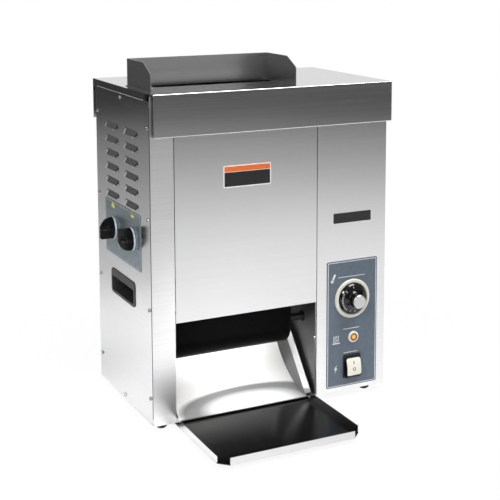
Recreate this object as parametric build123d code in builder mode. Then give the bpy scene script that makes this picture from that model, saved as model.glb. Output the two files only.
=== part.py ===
"""Vertical contact bun toaster: sheet-metal cabinet, belt conveyor, heated platen and controls.

Frame: +X to the right seen from the front, +Y to the back, +Z up. The origin is the centre of the
whole machine's footprint, on the surface that the feet stand on. Millimetres.

Sizes inside the cabinet are counted from its left face (x), its front face (y) and the bottom edge
of its panels (z). The three plane functions below turn such sizes into places.
"""
from build123d import *
from math import acos, cos, hypot, pi, radians, sin, sqrt, tan
import os

os.makedirs("parts", exist_ok=True)

# ------------------------------------------------------------------ driving sizes: cabinet
cab_width = 430.0
cab_depth = 259.0
cab_height = 533.0          # bottom edge of the panels to the top of the lid
sheet = 1.2                 # stainless sheet of every panel
seam = 0.2                  # joint line between two panels
panel_joint = 1.2           # open joint down each side of the front panel
side_joint = 1.6            # open joint between a side panel and the front corner
wall_setback = 4.0          # chamber walls start this far behind the face
left_column_width = 39.3
control_width = 133.9
exit_height = 164.5         # lower edge of the front panel
panel_hem = 8.0
side_drop = 11.0            # side panels end this far below the lid's top
face_drop = 4.0             # front pieces end here, behind the lid's skirt
top_frame_height = 31.8
edge_flange = 22.8          # turned-in edge that takes the side screws
inner_flange = 18.0
top_frame_ledge = 18.0
pan_rim = 15.0
pan_vent_rows = 6
pan_vent_pitch = 12.0
pan_vent_slot = (50.0, 4.0)
rim_gap = 1.5               # between the pan's rim and the corner flanges
wall_foot = 12.0
wall_foot_inset = 1.0
shield_flange = 14.0

# Lid
lid_over_front = 8.0
lid_over_back = 12.0
lid_over_left = 0.8
lid_over_right = 5.0
skirt_front = 68.0
skirt_back = 69.0
lid_lip = 10.7
lid_hem = 3.8
corner_relief = 24.0
skirt_inset = 4.9           # front skirt starts this far from the lid's left edge
relief_window = 14.0        # opening in the top frame behind the relief

# Feed slot and hopper on the lid
slot_inset = 3.9            # slot's left end from the column's edge
slot_right_inset = 38.1     # slot's right end from the control column
slot_front = 86.0
path_gap = 32.0             # depth of the feed slot, and of the toasting gap behind it
slot_corner = 8.0
hopper_inset = 7.7          # left wing from the cabinet's left face
hopper_right_inset = 33.6   # right wing from the control column
hopper_front = 13.0
hopper_height = 46.0
hopper_nose_height = 29.5
hopper_chamfer = 32.0
hopper_foot = 12.0

# Side panels
side_middle_shift = 3.5     # louvres and handle sit a little behind the middle
louvre_column_pitch = 92.0
louvre_rows = 6
louvre_pitch = 23.6
louvre_top = 468.5
louvre_length = 64.0
louvre_height = 11.5
louvre_rise = 4.0
louvre_corner = 6.0
louvre_run = 10.0           # the hood's slopes take this far to rise
louvre_ridge = 1.2          # corner of the hood's crest
handle_length = 114.0
handle_height = 43.0
handle_z = 194.9
handle_hood = 8.4           # extra depth of the rim above the opening
handle_corner = 8.0
handle_rim = 5.0
handle_rim_rise = 1.4
handle_depth = 27.0
handle_wall = 2.0
handle_rim_taper = 20.0
handle_draft = 4.0
cup_length = handle_length - 2 * handle_rim
cup_height = handle_height - 2 * handle_rim - handle_hood
cup_z = handle_z - handle_hood / 2
cup_corner = 5.0
screw_low = 43.5
screw_high_drop = 53.5
screw_inset_front = 11.4
screw_inset_back = 7.9
screw_mid_low = 7.0
screw_mid_drop = 18.0
screw_d = 4.0
screw_hole_d = 4.2
screw_head_d = 7.0
screw_head_rise = 2.2
screw_length = 6.0
screw_dome_taper = 28.0

# Feet
foot_d = 20.0
foot_height = 12.0
foot_stud_d = 5.0
foot_stud_length = 7.0
foot_recess_d = 6.0
foot_recess = 4.0
foot_taper = 5.0
foot_edge = 2.2
foot_inset_left = 21.5
foot_inset_right = 26.0
foot_inset_front = 23.0
foot_inset_back = 17.0

# ------------------------------------------------------------------ driving sizes: works
gap = 0.3                   # between pieces that move past each other
running = 0.05              # radial clearance of a shaft in its bore
seat = 0.02                 # radial clearance of a fixed piece in its hole
overcut = 1.0               # a cutter runs this far past what it cuts

roller_d = 69.0
belt_thickness = 1.5
drive_side_gap = 37.8       # room for the slide's cheek between carriage and right wall
drive_z = 126.4
top_roller_z = 488.0
drive_shaft_d = 12.0
stub_d = 10.0
bearing_d = 18.0
bearing_flange_d = 24.0
bearing_flange = 2.0
bearing_nose = 1.5
shaft_over = 3.0            # the drive shaft ends this far past wall and gear
shaft_edge = 0.8
roller_end_gap = 0.5
roller_shell = 3.0
roller_hub_d = 22.0
roller_hub_length = 12.0
stub_over = 1.0
frame_plate = 2.0
frame_strip = 36.0
frame_to_wall = 2.0
frame_to_belt = 1.7
slider_sheet = 1.6
slider_low = 30.0           # slider plate ends this far above and below the roller centres
slider_grip = 8.0
tie_bar_d = 8.0
tie_bar_count = 3

platen_thickness = 12.0
platen_low = 118.0
platen_over_roller = 12.0   # platen ends this far above the top roller's centre
platen_setback = 0.5
element_d = 8.0
element_top = 440.0
element_turn = 170.0
element_end = 108.0
element_margin = 25.0
element_runs = 4
element_bend = 18.0
pivot_y = 145.0
pivot_z = 112.0
pivot_pin_d = 8.0
carrier_clearance = 0.7
bulb_d = 6.0
bulb_length = 90.0
bulb_z = 340.0
shield_gap = 59.0           # air gap behind the platen carriage
bulb_clip = 8.0
clip_inset = 12.0
clip_wall = 2.0
bulb_stand = 1.0            # gap between the bulb and the carrier
bulb_end = 0.5
ear_rise = 30.0
follower_margin = 14.0
pin_head_over = 4.0
pin_head = 2.0
pin_over = 1.0

# Adjusting knobs, cams and followers
knob_z = 288.0
heel_knob_y = 85.0
crown_knob_y = 175.4
knob_d = 38.0
knob_skirt = 4.0
knob_depth = 24.0
knob_blade = 4.5            # thickness of the grip
knob_hub_d = 12.0
knob_hub_length = 19.5
knob_hub_edge = 1.5
knob_bar_length = 37.0
knob_crest = 2.0
knob_bore = 16.0
knob_tip = 2.0              # bevel at the low end of the bar
knob_edge = 0.6
knob_swell = 0.72           # fullness of the bar's sloped end
knob_clearance = 0.4
plate_sheet = 0.8           # scale plate and control plate
spindle_d = 8.0
cam_x = 14.0
cam_width = 8.0
cam_gap = 0.3
cam_margin = 0.3
cam_steps = 12
return_steps = 5
follower_d = 8.0
follower_offset = 16.0
carriage_travel = 1.5
window_room = 9.0
window_corner = 3.0
bush_d = 12.0
bush_flange_d = 17.0
bush_flange = 2.0
bush_length = 6.0
collar_d = 13.0
collar_width = 3.0
spindle_tip = 0.5           # spindle ends this far from the bottom of the knob's bore
spindle_room = 0.5          # radial, in the scale plate

scale_plate_y = 45.0
scale_plate_length = 170.0
scale_plate_z = 241.0
scale_plate_height = 93.0
scale_plate_corner = 3.0

# Drive
gear_module = 2.0
gear_teeth = 30
pinion_teeth = 15
gear_width = 10.0
gear_gap = 3.7
bracket_gap = 4.3
pressure_angle = 25.0
gear_addendum = 0.9
gear_dedendum = 1.25
flank_overlap = 0.2         # tooth flanks start this far inside the root circle
flank_steps = 4
pinion_engage = 12.0
bracket_width = 70.0
bracket_foot = 20.0
backlash = 0.2
pinion_shaft_d = 8.0
pinion_nose = 2.0
bracket_plate = 2.0
bracket_over = 4.0          # bracket stands this far above the gearbox
gearbox_size = (34.0, 50.0, 60.0)
gearbox_corner = 4.0
motor_d = 46.0
motor_length = 60.0
motor_edge = 3.0

# Controls
control_plate_inset = 18.9
control_plate_margin = 15.8
lamp_shift = 2.5            # lamp and switch sit a little right of the plate's middle
switch_shift = 0.3
control_plate_low = 7.3
control_plate_height = 222.5
dial_z = 162.0
bezel_d = 68.0
bezel_bore = 55.0
bezel_rise = 3.2
bezel_inner_edge = 1.2
bezel_outer_edge = 1.8
dial_d = 52.5
dial_thickness = 6.0
dial_shoulder = 0.8         # rim's edge above the middle of the dial's thickness
dial_bevel = 2.0
dial_waist = (4.6, 2.2)     # hollow between dial and grip: out from the grip, up from the dial
grip_d = 25.0
grip_reach = 24.0
grip_cap_d = 23.6
grip_cap_rise = 3.0
grip_cap_edge = 1.0
stem_d = 6.0
stem_engage = 16.0
stem_room = 2.0
thermostat_size = (36.0, 36.0, 28.0)
thermostat_corner = 4.0
lamp_z = 93.5
lamp_d = 19.5
lamp_shank_d = 12.0
lens_d = 12.0
lens_rise = 2.0
lamp_depth = 14.0
lamp_rise = 3.2
lamp_bevel = 1.4
lens_floor = 0.8            # of the seat under the lens
lens_roundness = 0.75       # share of the lens's rise taken by its rounded rim
switch_z = 42.0
switch_width = 33.5
switch_height = 41.5
switch_rise = 3.2
switch_corner = 2.0
switch_taper = 12.0
switch_flange = 1.0
switch_wall = 1.85
switch_depth = 26.0
well_depth = 9.0
rocker_width = 27.4
rocker_height = 35.0
rocker_rise = 10.0
rocker_tilt = 10.0
rocker_pivot_y = 1.0
rocker_pin_d = 4.0
rocker_root = 3.0
rocker_gap = 0.4            # each side, in the switch's well
rocker_crown = 3.0          # how far the pressed face is rounded
rocker_pin_gap = 0.2

# Tray and discharge slide
tray_over_left = 0.6
tray_short_right = 12.3
tongue_inset = 21.7
slide_over_left = 2.0
slide_over_right = 23.9
tray_reach = 173.0
tray_lip = 12.0
tray_corner = 15.5
tray_drop = 2.4             # top of the tray's floor below the cabinet's bottom edge
tongue_length = 64.0
tray_under = 8.0            # full-width floor goes this far under the cabinet
tray_lip_gap = 0.5
runner_grip = 9.0
runner_start = 10.0
runner_length = 62.0
slide_start_angle = 5.0
slide_radius = 146.0
slide_sweep = 56.0
slide_top = 104.0
cheek_angle = 49.6          # slope of the cheeks' straight front edge
low_cheek_top = 108.0       # left cheek ends under the belt carriage
high_cheek_top = 134.0      # right cheek runs on up beside the belt
cheek_flange = 10.5         # turned out along the right cheek's front edge
cheek_flange_low = 6.0

# Back
vent_column_pitch = 210.0
gland_inset = 45.0
terminal_inset = 58.0
vent_rows = 8
vent_pitch = 14.0
vent_z = 390.0
vent_slot = (60.0, 5.0)
gland_z = 45.0
gland_d = 20.0
gland_bore = 8.0
gland_reach = 10.0
gland_neck = 2.0            # the gland's neck is this much smaller in radius
gland_nut = 4.0
gland_tail = 2.0
terminal_y = 205.0
terminal_size = (50.0, 24.0, 20.0)
terminal_pitch = 12.0
terminal_poles = 4
terminal_hole_d = 6.0
terminal_hole = 4.0

# ------------------------------------------------------------------ places worked out from them
knob_base = plate_sheet + knob_clearance
knob_reach = knob_base + knob_depth
left = -(cab_width + lid_over_right - knob_reach) / 2
front = -(cab_depth + lid_over_back - tray_reach) / 2
bottom = foot_height

side_top = cab_height - side_drop
face_top = cab_height - face_drop
frame_low = cab_height - sheet - top_frame_height
frame_high = cab_height - sheet
flange_top = frame_low - sheet
control_left = cab_width - control_width + seam
wall_left = left_column_width - seam
wall_right = control_left - sheet
panel_left = wall_left + panel_joint
panel_right = control_left - panel_joint
belt_inner_r = roller_d / 2 + gap
belt_outer_r = belt_inner_r + belt_thickness
roller_y = slot_front - belt_outer_r
frame_left = wall_left + sheet + frame_to_wall
belt_left = frame_left + frame_plate + frame_to_belt
frame_right = wall_right - drive_side_gap - frame_plate
belt_right = frame_right - frame_to_belt
belt_width = belt_right - belt_left
roller_spacing = top_roller_z - drive_z
tie_bar_heights = [
    drive_z + roller_spacing * (bar + 1) / (tie_bar_count + 1) for bar in range(tie_bar_count)
]
platen_height = top_roller_z + platen_over_roller - platen_low
platen_y = slot_front + path_gap + platen_setback
platen_back = platen_y + platen_thickness
carrier_left = frame_left + frame_plate + carrier_clearance
carrier_right = frame_right - carrier_clearance
carrier_back = platen_back + element_d / 2 + gap
shield_y = carrier_back + sheet + shield_gap
element_pitch = (carrier_right - carrier_left - 2 * element_margin) / (element_runs - 1)
bulb_x = (carrier_left + carrier_right - bulb_length) / 2
slot_left = wall_left + slot_inset
slot_width = control_left - slot_right_inset - slot_left - seam
hopper_left = hopper_inset
hopper_width = control_left - hopper_right_inset - hopper_left
side_middle = cab_depth / 2 + side_middle_shift
handle_y = side_middle
screw_mid_y = side_middle
screw_mid_high = cab_height - screw_mid_drop
screw_span = cab_height - screw_high_drop - screw_low
screw_rows = [screw_low + screw_span * row / 3 for row in range(4)]
louvre_columns = (
    side_middle - side_middle_shift - louvre_column_pitch / 2,
    side_middle - side_middle_shift + louvre_column_pitch / 2,
)
gear_x = wall_right + sheet + gear_gap
bracket_x = gear_x + gear_width + bracket_gap
control_plate_left = control_left + control_plate_inset
control_plate_width = cab_width - control_plate_margin - control_plate_left
dial_x = control_plate_left + control_plate_width / 2
lamp_x = dial_x + lamp_shift
switch_x = dial_x + switch_shift
tray_left = wall_left - tray_over_left
tray_width = control_left - tray_short_right - tray_left
tongue_left = tray_left + tongue_inset
tongue_width = tray_width - 2 * tongue_inset
slide_left = belt_left - slide_over_left
slide_right = belt_right + slide_over_right
vent_columns = (cab_width / 2 - vent_column_pitch / 2, cab_width / 2 + vent_column_pitch / 2)
gland_x = cab_width - gland_inset
terminal_x = cab_width - terminal_inset
pinion_y = roller_y + gear_module * (gear_teeth + pinion_teeth) / 2
crown_follower_y = crown_knob_y - follower_offset
heel_follower_y = heel_knob_y + follower_offset
tray_floor = -tray_drop - sheet
switch_body = (switch_width - 2 * switch_flange, switch_height - 2 * switch_flange)
heel_lever = (heel_follower_y - roller_y, knob_z - drive_z)
crown_lever = (crown_follower_y - pivot_y, knob_z - pivot_z)
heel_shift = radians(carriage_travel) * heel_lever[1]
crown_shift = radians(carriage_travel) * crown_lever[1]
follower_windows = [
    (heel_follower_y + heel_shift / 2, knob_z),
    (crown_follower_y - crown_shift / 2, knob_z),
]


def floor_plane(z=0.0):
    """Level plane at height z: sketch x is X, sketch y is Y, extrusion goes up."""
    return Plane(origin=(left, front, bottom + z), x_dir=(1, 0, 0), z_dir=(0, 0, 1))


def front_plane(y=0.0):
    """Upright plane at depth y: sketch x is X, sketch y is Z, extrusion goes to the front."""
    return Plane(origin=(left, front + y, bottom), x_dir=(1, 0, 0), z_dir=(0, -1, 0))


def side_plane(x=0.0):
    """Upright plane at x: sketch x is Y, sketch y is Z, extrusion goes to the right."""
    return Plane(origin=(left + x, front, bottom), x_dir=(0, 1, 0), z_dir=(1, 0, 0))


def turned_on_y(x, y, z):
    """Plane of a turned piece whose axis runs to the front: sketch x is radius, sketch y reach."""
    return Plane(origin=(left + x, front + y, bottom + z), x_dir=(1, 0, 0), z_dir=(0, 0, -1))


def turned_on_x(x, y, z):
    """Plane of a turned piece whose axis runs to the right: sketch x is reach, sketch y radius."""
    return Plane(origin=(left + x, front + y, bottom + z), x_dir=(1, 0, 0), z_dir=(0, -1, 0))


def axis_y(x, z):
    return Axis((left + x, front, bottom + z), (0, -1, 0))


def axis_x(y, z):
    return Axis((left, front + y, bottom + z), (1, 0, 0))


def rect(low, high, mode=Mode.ADD):
    """Rectangle between two opposite corners in the sketch at work."""
    with Locations(low):
        Rectangle(high[0] - low[0], high[1] - low[1], align=(Align.MIN, Align.MIN), mode=mode)


def bent_sheet(points, side=Side.LEFT, thickness=sheet):
    """Section of a sheet folded along the points, which lie on its inner surface."""
    with BuildSketch() as strip:
        with BuildLine():
            Polyline(*points)
            offset(amount=thickness, side=side)
        make_face()
    return strip.sketch


def turned(points):
    """Half section of a turned piece, closed along the points."""
    with BuildSketch() as half:
        with BuildLine():
            Polyline(*points, close=True)
        make_face()
    return half.sketch


# ================================================================== cabinet shell
# Base pan: floor with a rim that the side and back panels screw to.
rim_front = sheet + edge_flange + rim_gap
rim_back = cab_depth - sheet - edge_flange - rim_gap
foot_spots = [
    (foot_inset_left, foot_inset_front),
    (cab_width - foot_inset_right, foot_inset_front),
    (foot_inset_left, cab_depth - foot_inset_back),
    (cab_width - foot_inset_right, cab_depth - foot_inset_back),
]
with BuildPart() as base_pan:
    with BuildSketch(floor_plane()):
        rect((sheet, sheet), (cab_width - sheet, cab_depth - sheet))
    extrude(amount=sheet)
    with BuildSketch(floor_plane(sheet)):
        rect((sheet, rim_front), (2 * sheet, rim_back))
        rect((cab_width - 2 * sheet, rim_front), (cab_width - sheet, rim_back))
        rect(
            (2 * sheet + seam, cab_depth - 2 * sheet),
            (cab_width - 2 * sheet - seam, cab_depth - sheet),
        )
    extrude(amount=pan_rim)
    with BuildSketch(floor_plane()):
        with Locations(*foot_spots):
            Circle(foot_stud_d / 2 + seat)
        with Locations((cab_width - control_width / 2, cab_depth / 2)):
            with GridLocations(1, pan_vent_pitch, 1, pan_vent_rows):
                SlotOverall(*pan_vent_slot)
    extrude(amount=sheet, mode=Mode.SUBTRACT)
    with BuildSketch(side_plane()):
        with Locations((screw_mid_y, screw_mid_low)):
            Circle(screw_hole_d / 2)
    extrude(amount=cab_width, mode=Mode.SUBTRACT)


def louvre_hoods(panel_plane, sign):
    """Pressed-out hoods: a bulge that slopes on three sides, open along its lower edge."""
    spots = [(sign * column, z) for column in louvre_columns for z in louvre_edges]
    with BuildPart() as hoods:
        for inset, rise, mode in louvre_layers:
            crest = inset + louvre_run * rise / louvre_rise
            for spot in spots:
                with BuildSketch(panel_plane):
                    with Locations(spot):
                        RectangleRounded(
                            louvre_length - 2 * inset, 2 * (louvre_height - inset), louvre_corner - inset
                        )
                with BuildSketch(panel_plane.offset(rise)):
                    with Locations(spot):
                        RectangleRounded(
                            louvre_length - 2 * crest, 2 * (louvre_height - crest), louvre_ridge
                        )
                loft(mode=mode)
        with BuildSketch(panel_plane):
            with Locations(*spots):
                Rectangle(
                    louvre_length + 2 * overcut,
                    louvre_height + overcut,
                    align=(Align.CENTER, Align.MAX),
                )
        extrude(amount=louvre_rise + overcut, mode=Mode.SUBTRACT)
    return hoods.part


def side_panel(x, outward):
    """Flat side with louvres, a handle opening and screw holes; outward is -1 left, +1 right."""
    face_x = x if outward < 0 else x + sheet
    face = Plane(
        origin=(left + face_x, front, bottom), x_dir=(0, outward, 0), z_dir=(outward, 0, 0)
    )
    hoods = louvre_hoods(face, outward)
    with BuildPart() as panel:
        with BuildSketch(side_plane(x)):
            rect((sheet + side_joint, 0), (cab_depth - sheet - seam, side_top))
            with Locations((handle_y, cup_z)):
                RectangleRounded(
                    cup_length + 2 * handle_wall + 2 * seat,
                    cup_height + 2 * handle_wall + 2 * seat,
                    cup_corner,
                    mode=Mode.SUBTRACT,
                )
            with Locations(*louvre_slots):
                Rectangle(
                    louvre_length - 2 * louvre_corner,
                    louvre_height - louvre_skin - sheet,
                    align=(Align.CENTER, Align.MIN),
                    mode=Mode.SUBTRACT,
                )
            with Locations(*side_screw_spots):
                Circle(screw_hole_d / 2, mode=Mode.SUBTRACT)
        extrude(amount=sheet)
        add(hoods)
        if outward < 0:
            with BuildSketch(side_plane(x)):
                with Locations((heel_knob_y, knob_z), (crown_knob_y, knob_z)):
                    Circle(bush_d / 2 + seat)
            extrude(amount=sheet, mode=Mode.SUBTRACT)
    return panel


louvre_skin = sheet * hypot(louvre_rise, louvre_run) / louvre_rise
louvre_layers = [
    (0.0, louvre_rise, Mode.ADD),
    (louvre_skin, louvre_rise - sheet, Mode.SUBTRACT),
]
louvre_edges = [louvre_top - louvre_height - row * louvre_pitch for row in range(louvre_rows)]
louvre_slots = [(column, z + sheet / 2) for column in louvre_columns for z in louvre_edges]
side_screw_spots = [(screw_inset_front, z) for z in screw_rows]
side_screw_spots += [(cab_depth - screw_inset_back, z) for z in screw_rows]
side_screw_spots += [(screw_mid_y, screw_mid_low), (screw_mid_y, screw_mid_high)]
left_side_panel = side_panel(0.0, -1)
right_side_panel = side_panel(cab_width - sheet, 1)

# Narrow column left of the exit: face, side flange for the screws, inner flange for the wall.
left_column_section = bent_sheet(
    [(2 * sheet, sheet + edge_flange), (2 * sheet, sheet), (wall_left - sheet, sheet),
     (wall_left - sheet, inner_flange)],
    side=Side.RIGHT,
)
with BuildPart() as left_front_column:
    with BuildSketch(floor_plane(sheet)):
        add(left_column_section)
    extrude(amount=flange_top - sheet)
    with BuildSketch(front_plane(sheet)):
        rect((0, 0), (wall_left, face_top))
    extrude(amount=sheet)
    with BuildSketch(side_plane(sheet)):
        with Locations(*[(screw_inset_front, z) for z in screw_rows]):
            Circle(screw_hole_d / 2)
    extrude(amount=sheet, mode=Mode.SUBTRACT)

# Wide column right of the exit, which carries the controls.
control_column_section = bent_sheet(
    [(control_left + sheet, inner_flange), (control_left + sheet, sheet),
     (cab_width - 2 * sheet, sheet), (cab_width - 2 * sheet, sheet + edge_flange)],
    side=Side.RIGHT,
)
with BuildPart() as control_column:
    with BuildSketch(floor_plane(sheet)):
        add(control_column_section)
    extrude(amount=flange_top - sheet)
    with BuildSketch(front_plane(sheet)):
        rect((control_left, 0), (cab_width, face_top))
    extrude(amount=sheet)
    with BuildSketch(side_plane(cab_width - 2 * sheet)):
        with Locations(*[(screw_inset_front, z) for z in screw_rows]):
            Circle(screw_hole_d / 2)
    extrude(amount=sheet, mode=Mode.SUBTRACT)
    with BuildSketch(front_plane(sheet)):
        with Locations((dial_x, dial_z)):
            Circle(stem_d / 2 + stem_room)
        with Locations((lamp_x, lamp_z)):
            Circle(lamp_shank_d / 2 + seat)
        with Locations((switch_x, switch_z)):
            Rectangle(switch_body[0] + 2 * seat, switch_body[1] + 2 * seat)
    extrude(amount=sheet, mode=Mode.SUBTRACT)

# Removable front panel over the conveyor, with a turned-in lower edge.
front_panel_section = bent_sheet(
    [(sheet + panel_hem, exit_height + sheet), (sheet, exit_height + sheet), (sheet, face_top)],
    side=Side.LEFT,
)
with BuildPart() as front_panel:
    with BuildSketch(side_plane(panel_left + sheet)):
        add(front_panel_section)
    extrude(amount=panel_right - panel_left - 2 * sheet)
    with BuildSketch(front_plane(sheet)):
        rect((panel_left, exit_height), (panel_right, face_top))
    extrude(amount=sheet)

# Back panel with forward flanges, vent slots and the cord gland's hole.
back_section = bent_sheet(
    [(2 * sheet, cab_depth - sheet - edge_flange), (2 * sheet, cab_depth - sheet),
     (cab_width - 2 * sheet, cab_depth - sheet),
     (cab_width - 2 * sheet, cab_depth - sheet - edge_flange)],
    side=Side.LEFT,
)
with BuildPart() as back_panel:
    with BuildSketch(floor_plane(sheet)):
        add(back_section)
    extrude(amount=flange_top - sheet)
    with BuildSketch(front_plane(cab_depth)):
        rect((0, 0), (cab_width, side_top))
    extrude(amount=sheet)
    with BuildSketch(front_plane(cab_depth)):
        for column in vent_columns:
            with Locations((column, vent_z)):
                with GridLocations(1, vent_pitch, 1, vent_rows):
                    SlotOverall(*vent_slot)
        with Locations((gland_x, gland_z)):
            Circle(gland_d / 2 - gland_neck + seat)
    extrude(amount=sheet, mode=Mode.SUBTRACT)
    with BuildSketch(side_plane(0)):
        with Locations(*[(cab_depth - screw_inset_back, z) for z in screw_rows]):
            Circle(screw_hole_d / 2)
    extrude(amount=cab_width, mode=Mode.SUBTRACT)

# Top frame: a ring under the lid that ties the four sides together.
with BuildPart() as top_frame:
    with BuildSketch(floor_plane(frame_low)):
        rect((sheet, sheet), (cab_width - sheet, cab_depth - sheet))
        rect((2 * sheet, 2 * sheet), (cab_width - 2 * sheet, cab_depth - 2 * sheet), Mode.SUBTRACT)
    extrude(amount=frame_high - frame_low)
    with BuildSketch(floor_plane(frame_high - sheet)):
        rect((sheet, sheet), (cab_width - sheet, cab_depth - sheet))
        rect(
            (top_frame_ledge, top_frame_ledge),
            (cab_width - top_frame_ledge, cab_depth - top_frame_ledge),
            Mode.SUBTRACT,
        )
    extrude(amount=sheet)
    with BuildSketch(side_plane(0)):
        with Locations((screw_mid_y, screw_mid_high)):
            Circle(screw_hole_d / 2)
    extrude(amount=cab_width, mode=Mode.SUBTRACT)
    with BuildSketch(floor_plane(frame_high - relief_window)):
        rect((0, 2 * sheet), (top_frame_ledge - overcut, corner_relief - lid_over_front))
    extrude(amount=relief_window + overcut, mode=Mode.SUBTRACT)

# Lid: one folded sheet with deep front and back skirts and a narrow lip on each side.
lid_section = bent_sheet(
    [(-lid_over_front + sheet + lid_hem, cab_height - skirt_front + sheet),
     (-lid_over_front + sheet, cab_height - skirt_front + sheet),
     (-lid_over_front + sheet, cab_height - sheet),
     (cab_depth + lid_over_back - sheet, cab_height - sheet),
     (cab_depth + lid_over_back - sheet, cab_height - skirt_back)],
)
with BuildPart() as top_lid:
    with BuildSketch(side_plane(-lid_over_left)):
        add(lid_section)
    extrude(amount=cab_width + lid_over_left + lid_over_right)
    with BuildSketch(floor_plane(cab_height - lid_lip)):
        lip_front = corner_relief - lid_over_front
        rect((-lid_over_left, lip_front), (-lid_over_left + sheet, cab_depth + lid_over_back - sheet))
        rect(
            (cab_width + lid_over_right - sheet, lip_front),
            (cab_width + lid_over_right, cab_depth + lid_over_back - sheet),
        )
    extrude(amount=lid_lip - sheet)
    with BuildSketch(floor_plane(cab_height - skirt_front - overcut)):
        rect((-lid_over_left - overcut, -lid_over_front - overcut), (skirt_inset - lid_over_left, lip_front))
    extrude(amount=skirt_front + 2 * overcut, mode=Mode.SUBTRACT)
    with BuildSketch(floor_plane(cab_height)):
        with Locations((slot_left + slot_width / 2, slot_front + path_gap / 2)):
            RectangleRounded(slot_width, path_gap, slot_corner)
    extrude(amount=-sheet, mode=Mode.SUBTRACT)

# Feed hopper: a back wall and two wings folded from one sheet, standing on the lid.
hopper_back = slot_front + path_gap + gap
hopper_section = bent_sheet(
    [(hopper_left + sheet, hopper_front), (hopper_left + sheet, hopper_back),
     (hopper_left + hopper_width - sheet, hopper_back),
     (hopper_left + hopper_width - sheet, hopper_front)],
)
with BuildPart() as feed_hopper:
    with BuildSketch(floor_plane(cab_height)):
        add(hopper_section)
    extrude(amount=hopper_height)
    with BuildSketch(side_plane(hopper_left - overcut)):
        with BuildLine():
            Polyline(
                (hopper_front - overcut, cab_height + hopper_nose_height),
                (hopper_front, cab_height + hopper_nose_height),
                (hopper_front + hopper_chamfer, cab_height + hopper_height),
                (hopper_front + hopper_chamfer, cab_height + hopper_height + overcut),
                (hopper_front - overcut, cab_height + hopper_height + overcut),
                close=True,
            )
        make_face()
    extrude(amount=hopper_width + 2 * overcut, mode=Mode.SUBTRACT)
    with BuildSketch(floor_plane(cab_height)):
        rect(
            (hopper_left + sheet, hopper_back + sheet),
            (hopper_left + hopper_width - sheet, hopper_back + hopper_foot),
        )
    extrude(amount=sheet)


# Walls of the toasting chamber, each with a foot folded outwards on the base pan.
def chamber_wall(x, outward):
    """Upright wall from the front column to the back panel; outward is -1 left, +1 right."""
    foot_x = x + sheet if outward > 0 else x - wall_foot
    with BuildPart() as wall:
        with BuildSketch(side_plane(x)):
            rect((wall_setback, sheet), (cab_depth - 2 * sheet, flange_top))
            with Locations((roller_y, drive_z)):
                Circle(bearing_d / 2 + seat, mode=Mode.SUBTRACT)
            with Locations((pivot_y, pivot_z)):
                Circle(pivot_pin_d / 2 + seat, mode=Mode.SUBTRACT)
            if outward < 0:
                with Locations((heel_knob_y, knob_z), (crown_knob_y, knob_z)):
                    Circle(spindle_d / 2 + running, mode=Mode.SUBTRACT)
                with Locations(*follower_windows):
                    RectangleRounded(
                        follower_d + window_room, 2 * follower_d, window_corner, mode=Mode.SUBTRACT
                    )
        extrude(amount=sheet)
        with BuildSketch(floor_plane(sheet)):
            rect((foot_x, inner_flange + wall_foot_inset), (foot_x + wall_foot, rim_back - wall_foot_inset))
        extrude(amount=sheet)
    return wall


chamber_wall_left = chamber_wall(wall_left, -1)
chamber_wall_right = chamber_wall(wall_right, 1)

# Heat shield behind the platen, with feet folded back along both walls.
shield_section = bent_sheet(
    [(wall_left + 2 * sheet, shield_y + shield_flange), (wall_left + 2 * sheet, shield_y + sheet),
     (wall_right - sheet, shield_y + sheet), (wall_right - sheet, shield_y + shield_flange)],
    side=Side.RIGHT,
)
with BuildPart() as heat_shield:
    with BuildSketch(floor_plane(sheet)):
        add(shield_section)
    extrude(amount=flange_top - 2 * sheet)


# Recessed handle: a moulded cup with a thin rim on the outside of the panel.
def handle_cup(face_x, outward):
    """Cup set into a side panel; face_x is the panel's outer face."""
    rim_centre = (left + face_x, front + handle_y, bottom + handle_z)
    cup_centre = (left + face_x, front + handle_y, bottom + cup_z)
    rim_plane = Plane(origin=rim_centre, x_dir=(0, 1, 0), z_dir=(outward, 0, 0))
    out_plane = Plane(origin=cup_centre, x_dir=(0, 1, 0), z_dir=(outward, 0, 0))
    in_plane = Plane(origin=cup_centre, x_dir=(0, 1, 0), z_dir=(-outward, 0, 0))
    with BuildPart() as cup:
        with BuildSketch(rim_plane):
            RectangleRounded(handle_length, handle_height, handle_corner)
        extrude(amount=handle_rim_rise, taper=handle_rim_taper)
        with BuildSketch(in_plane):
            RectangleRounded(cup_length + 2 * handle_wall, cup_height + 2 * handle_wall, cup_corner)
        extrude(amount=handle_depth)
        with BuildSketch(out_plane):
            RectangleRounded(cup_length, cup_height, cup_corner)
        extrude(amount=handle_rim_rise, mode=Mode.SUBTRACT)
        with BuildSketch(in_plane):
            RectangleRounded(cup_length, cup_height, cup_corner)
        extrude(amount=handle_depth - handle_wall, taper=handle_draft, mode=Mode.SUBTRACT)
    return cup


left_handle_cup = handle_cup(0.0, -1)
right_handle_cup = handle_cup(cab_width, 1)

# Dome-head screws of both side panels, as one group.
with BuildPart() as panel_screws:
    for side_x, outward in ((0.0, -1), (cab_width, 1)):
        for y, z in side_screw_spots:
            with BuildSketch(side_plane(side_x)):
                with Locations((y, z)):
                    Circle(screw_d / 2)
            extrude(amount=-outward * screw_length)
            with BuildSketch(side_plane(side_x)):
                with Locations((y, z)):
                    Circle(screw_head_d / 2)
            extrude(amount=outward * screw_head_rise, taper=screw_dome_taper)


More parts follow.
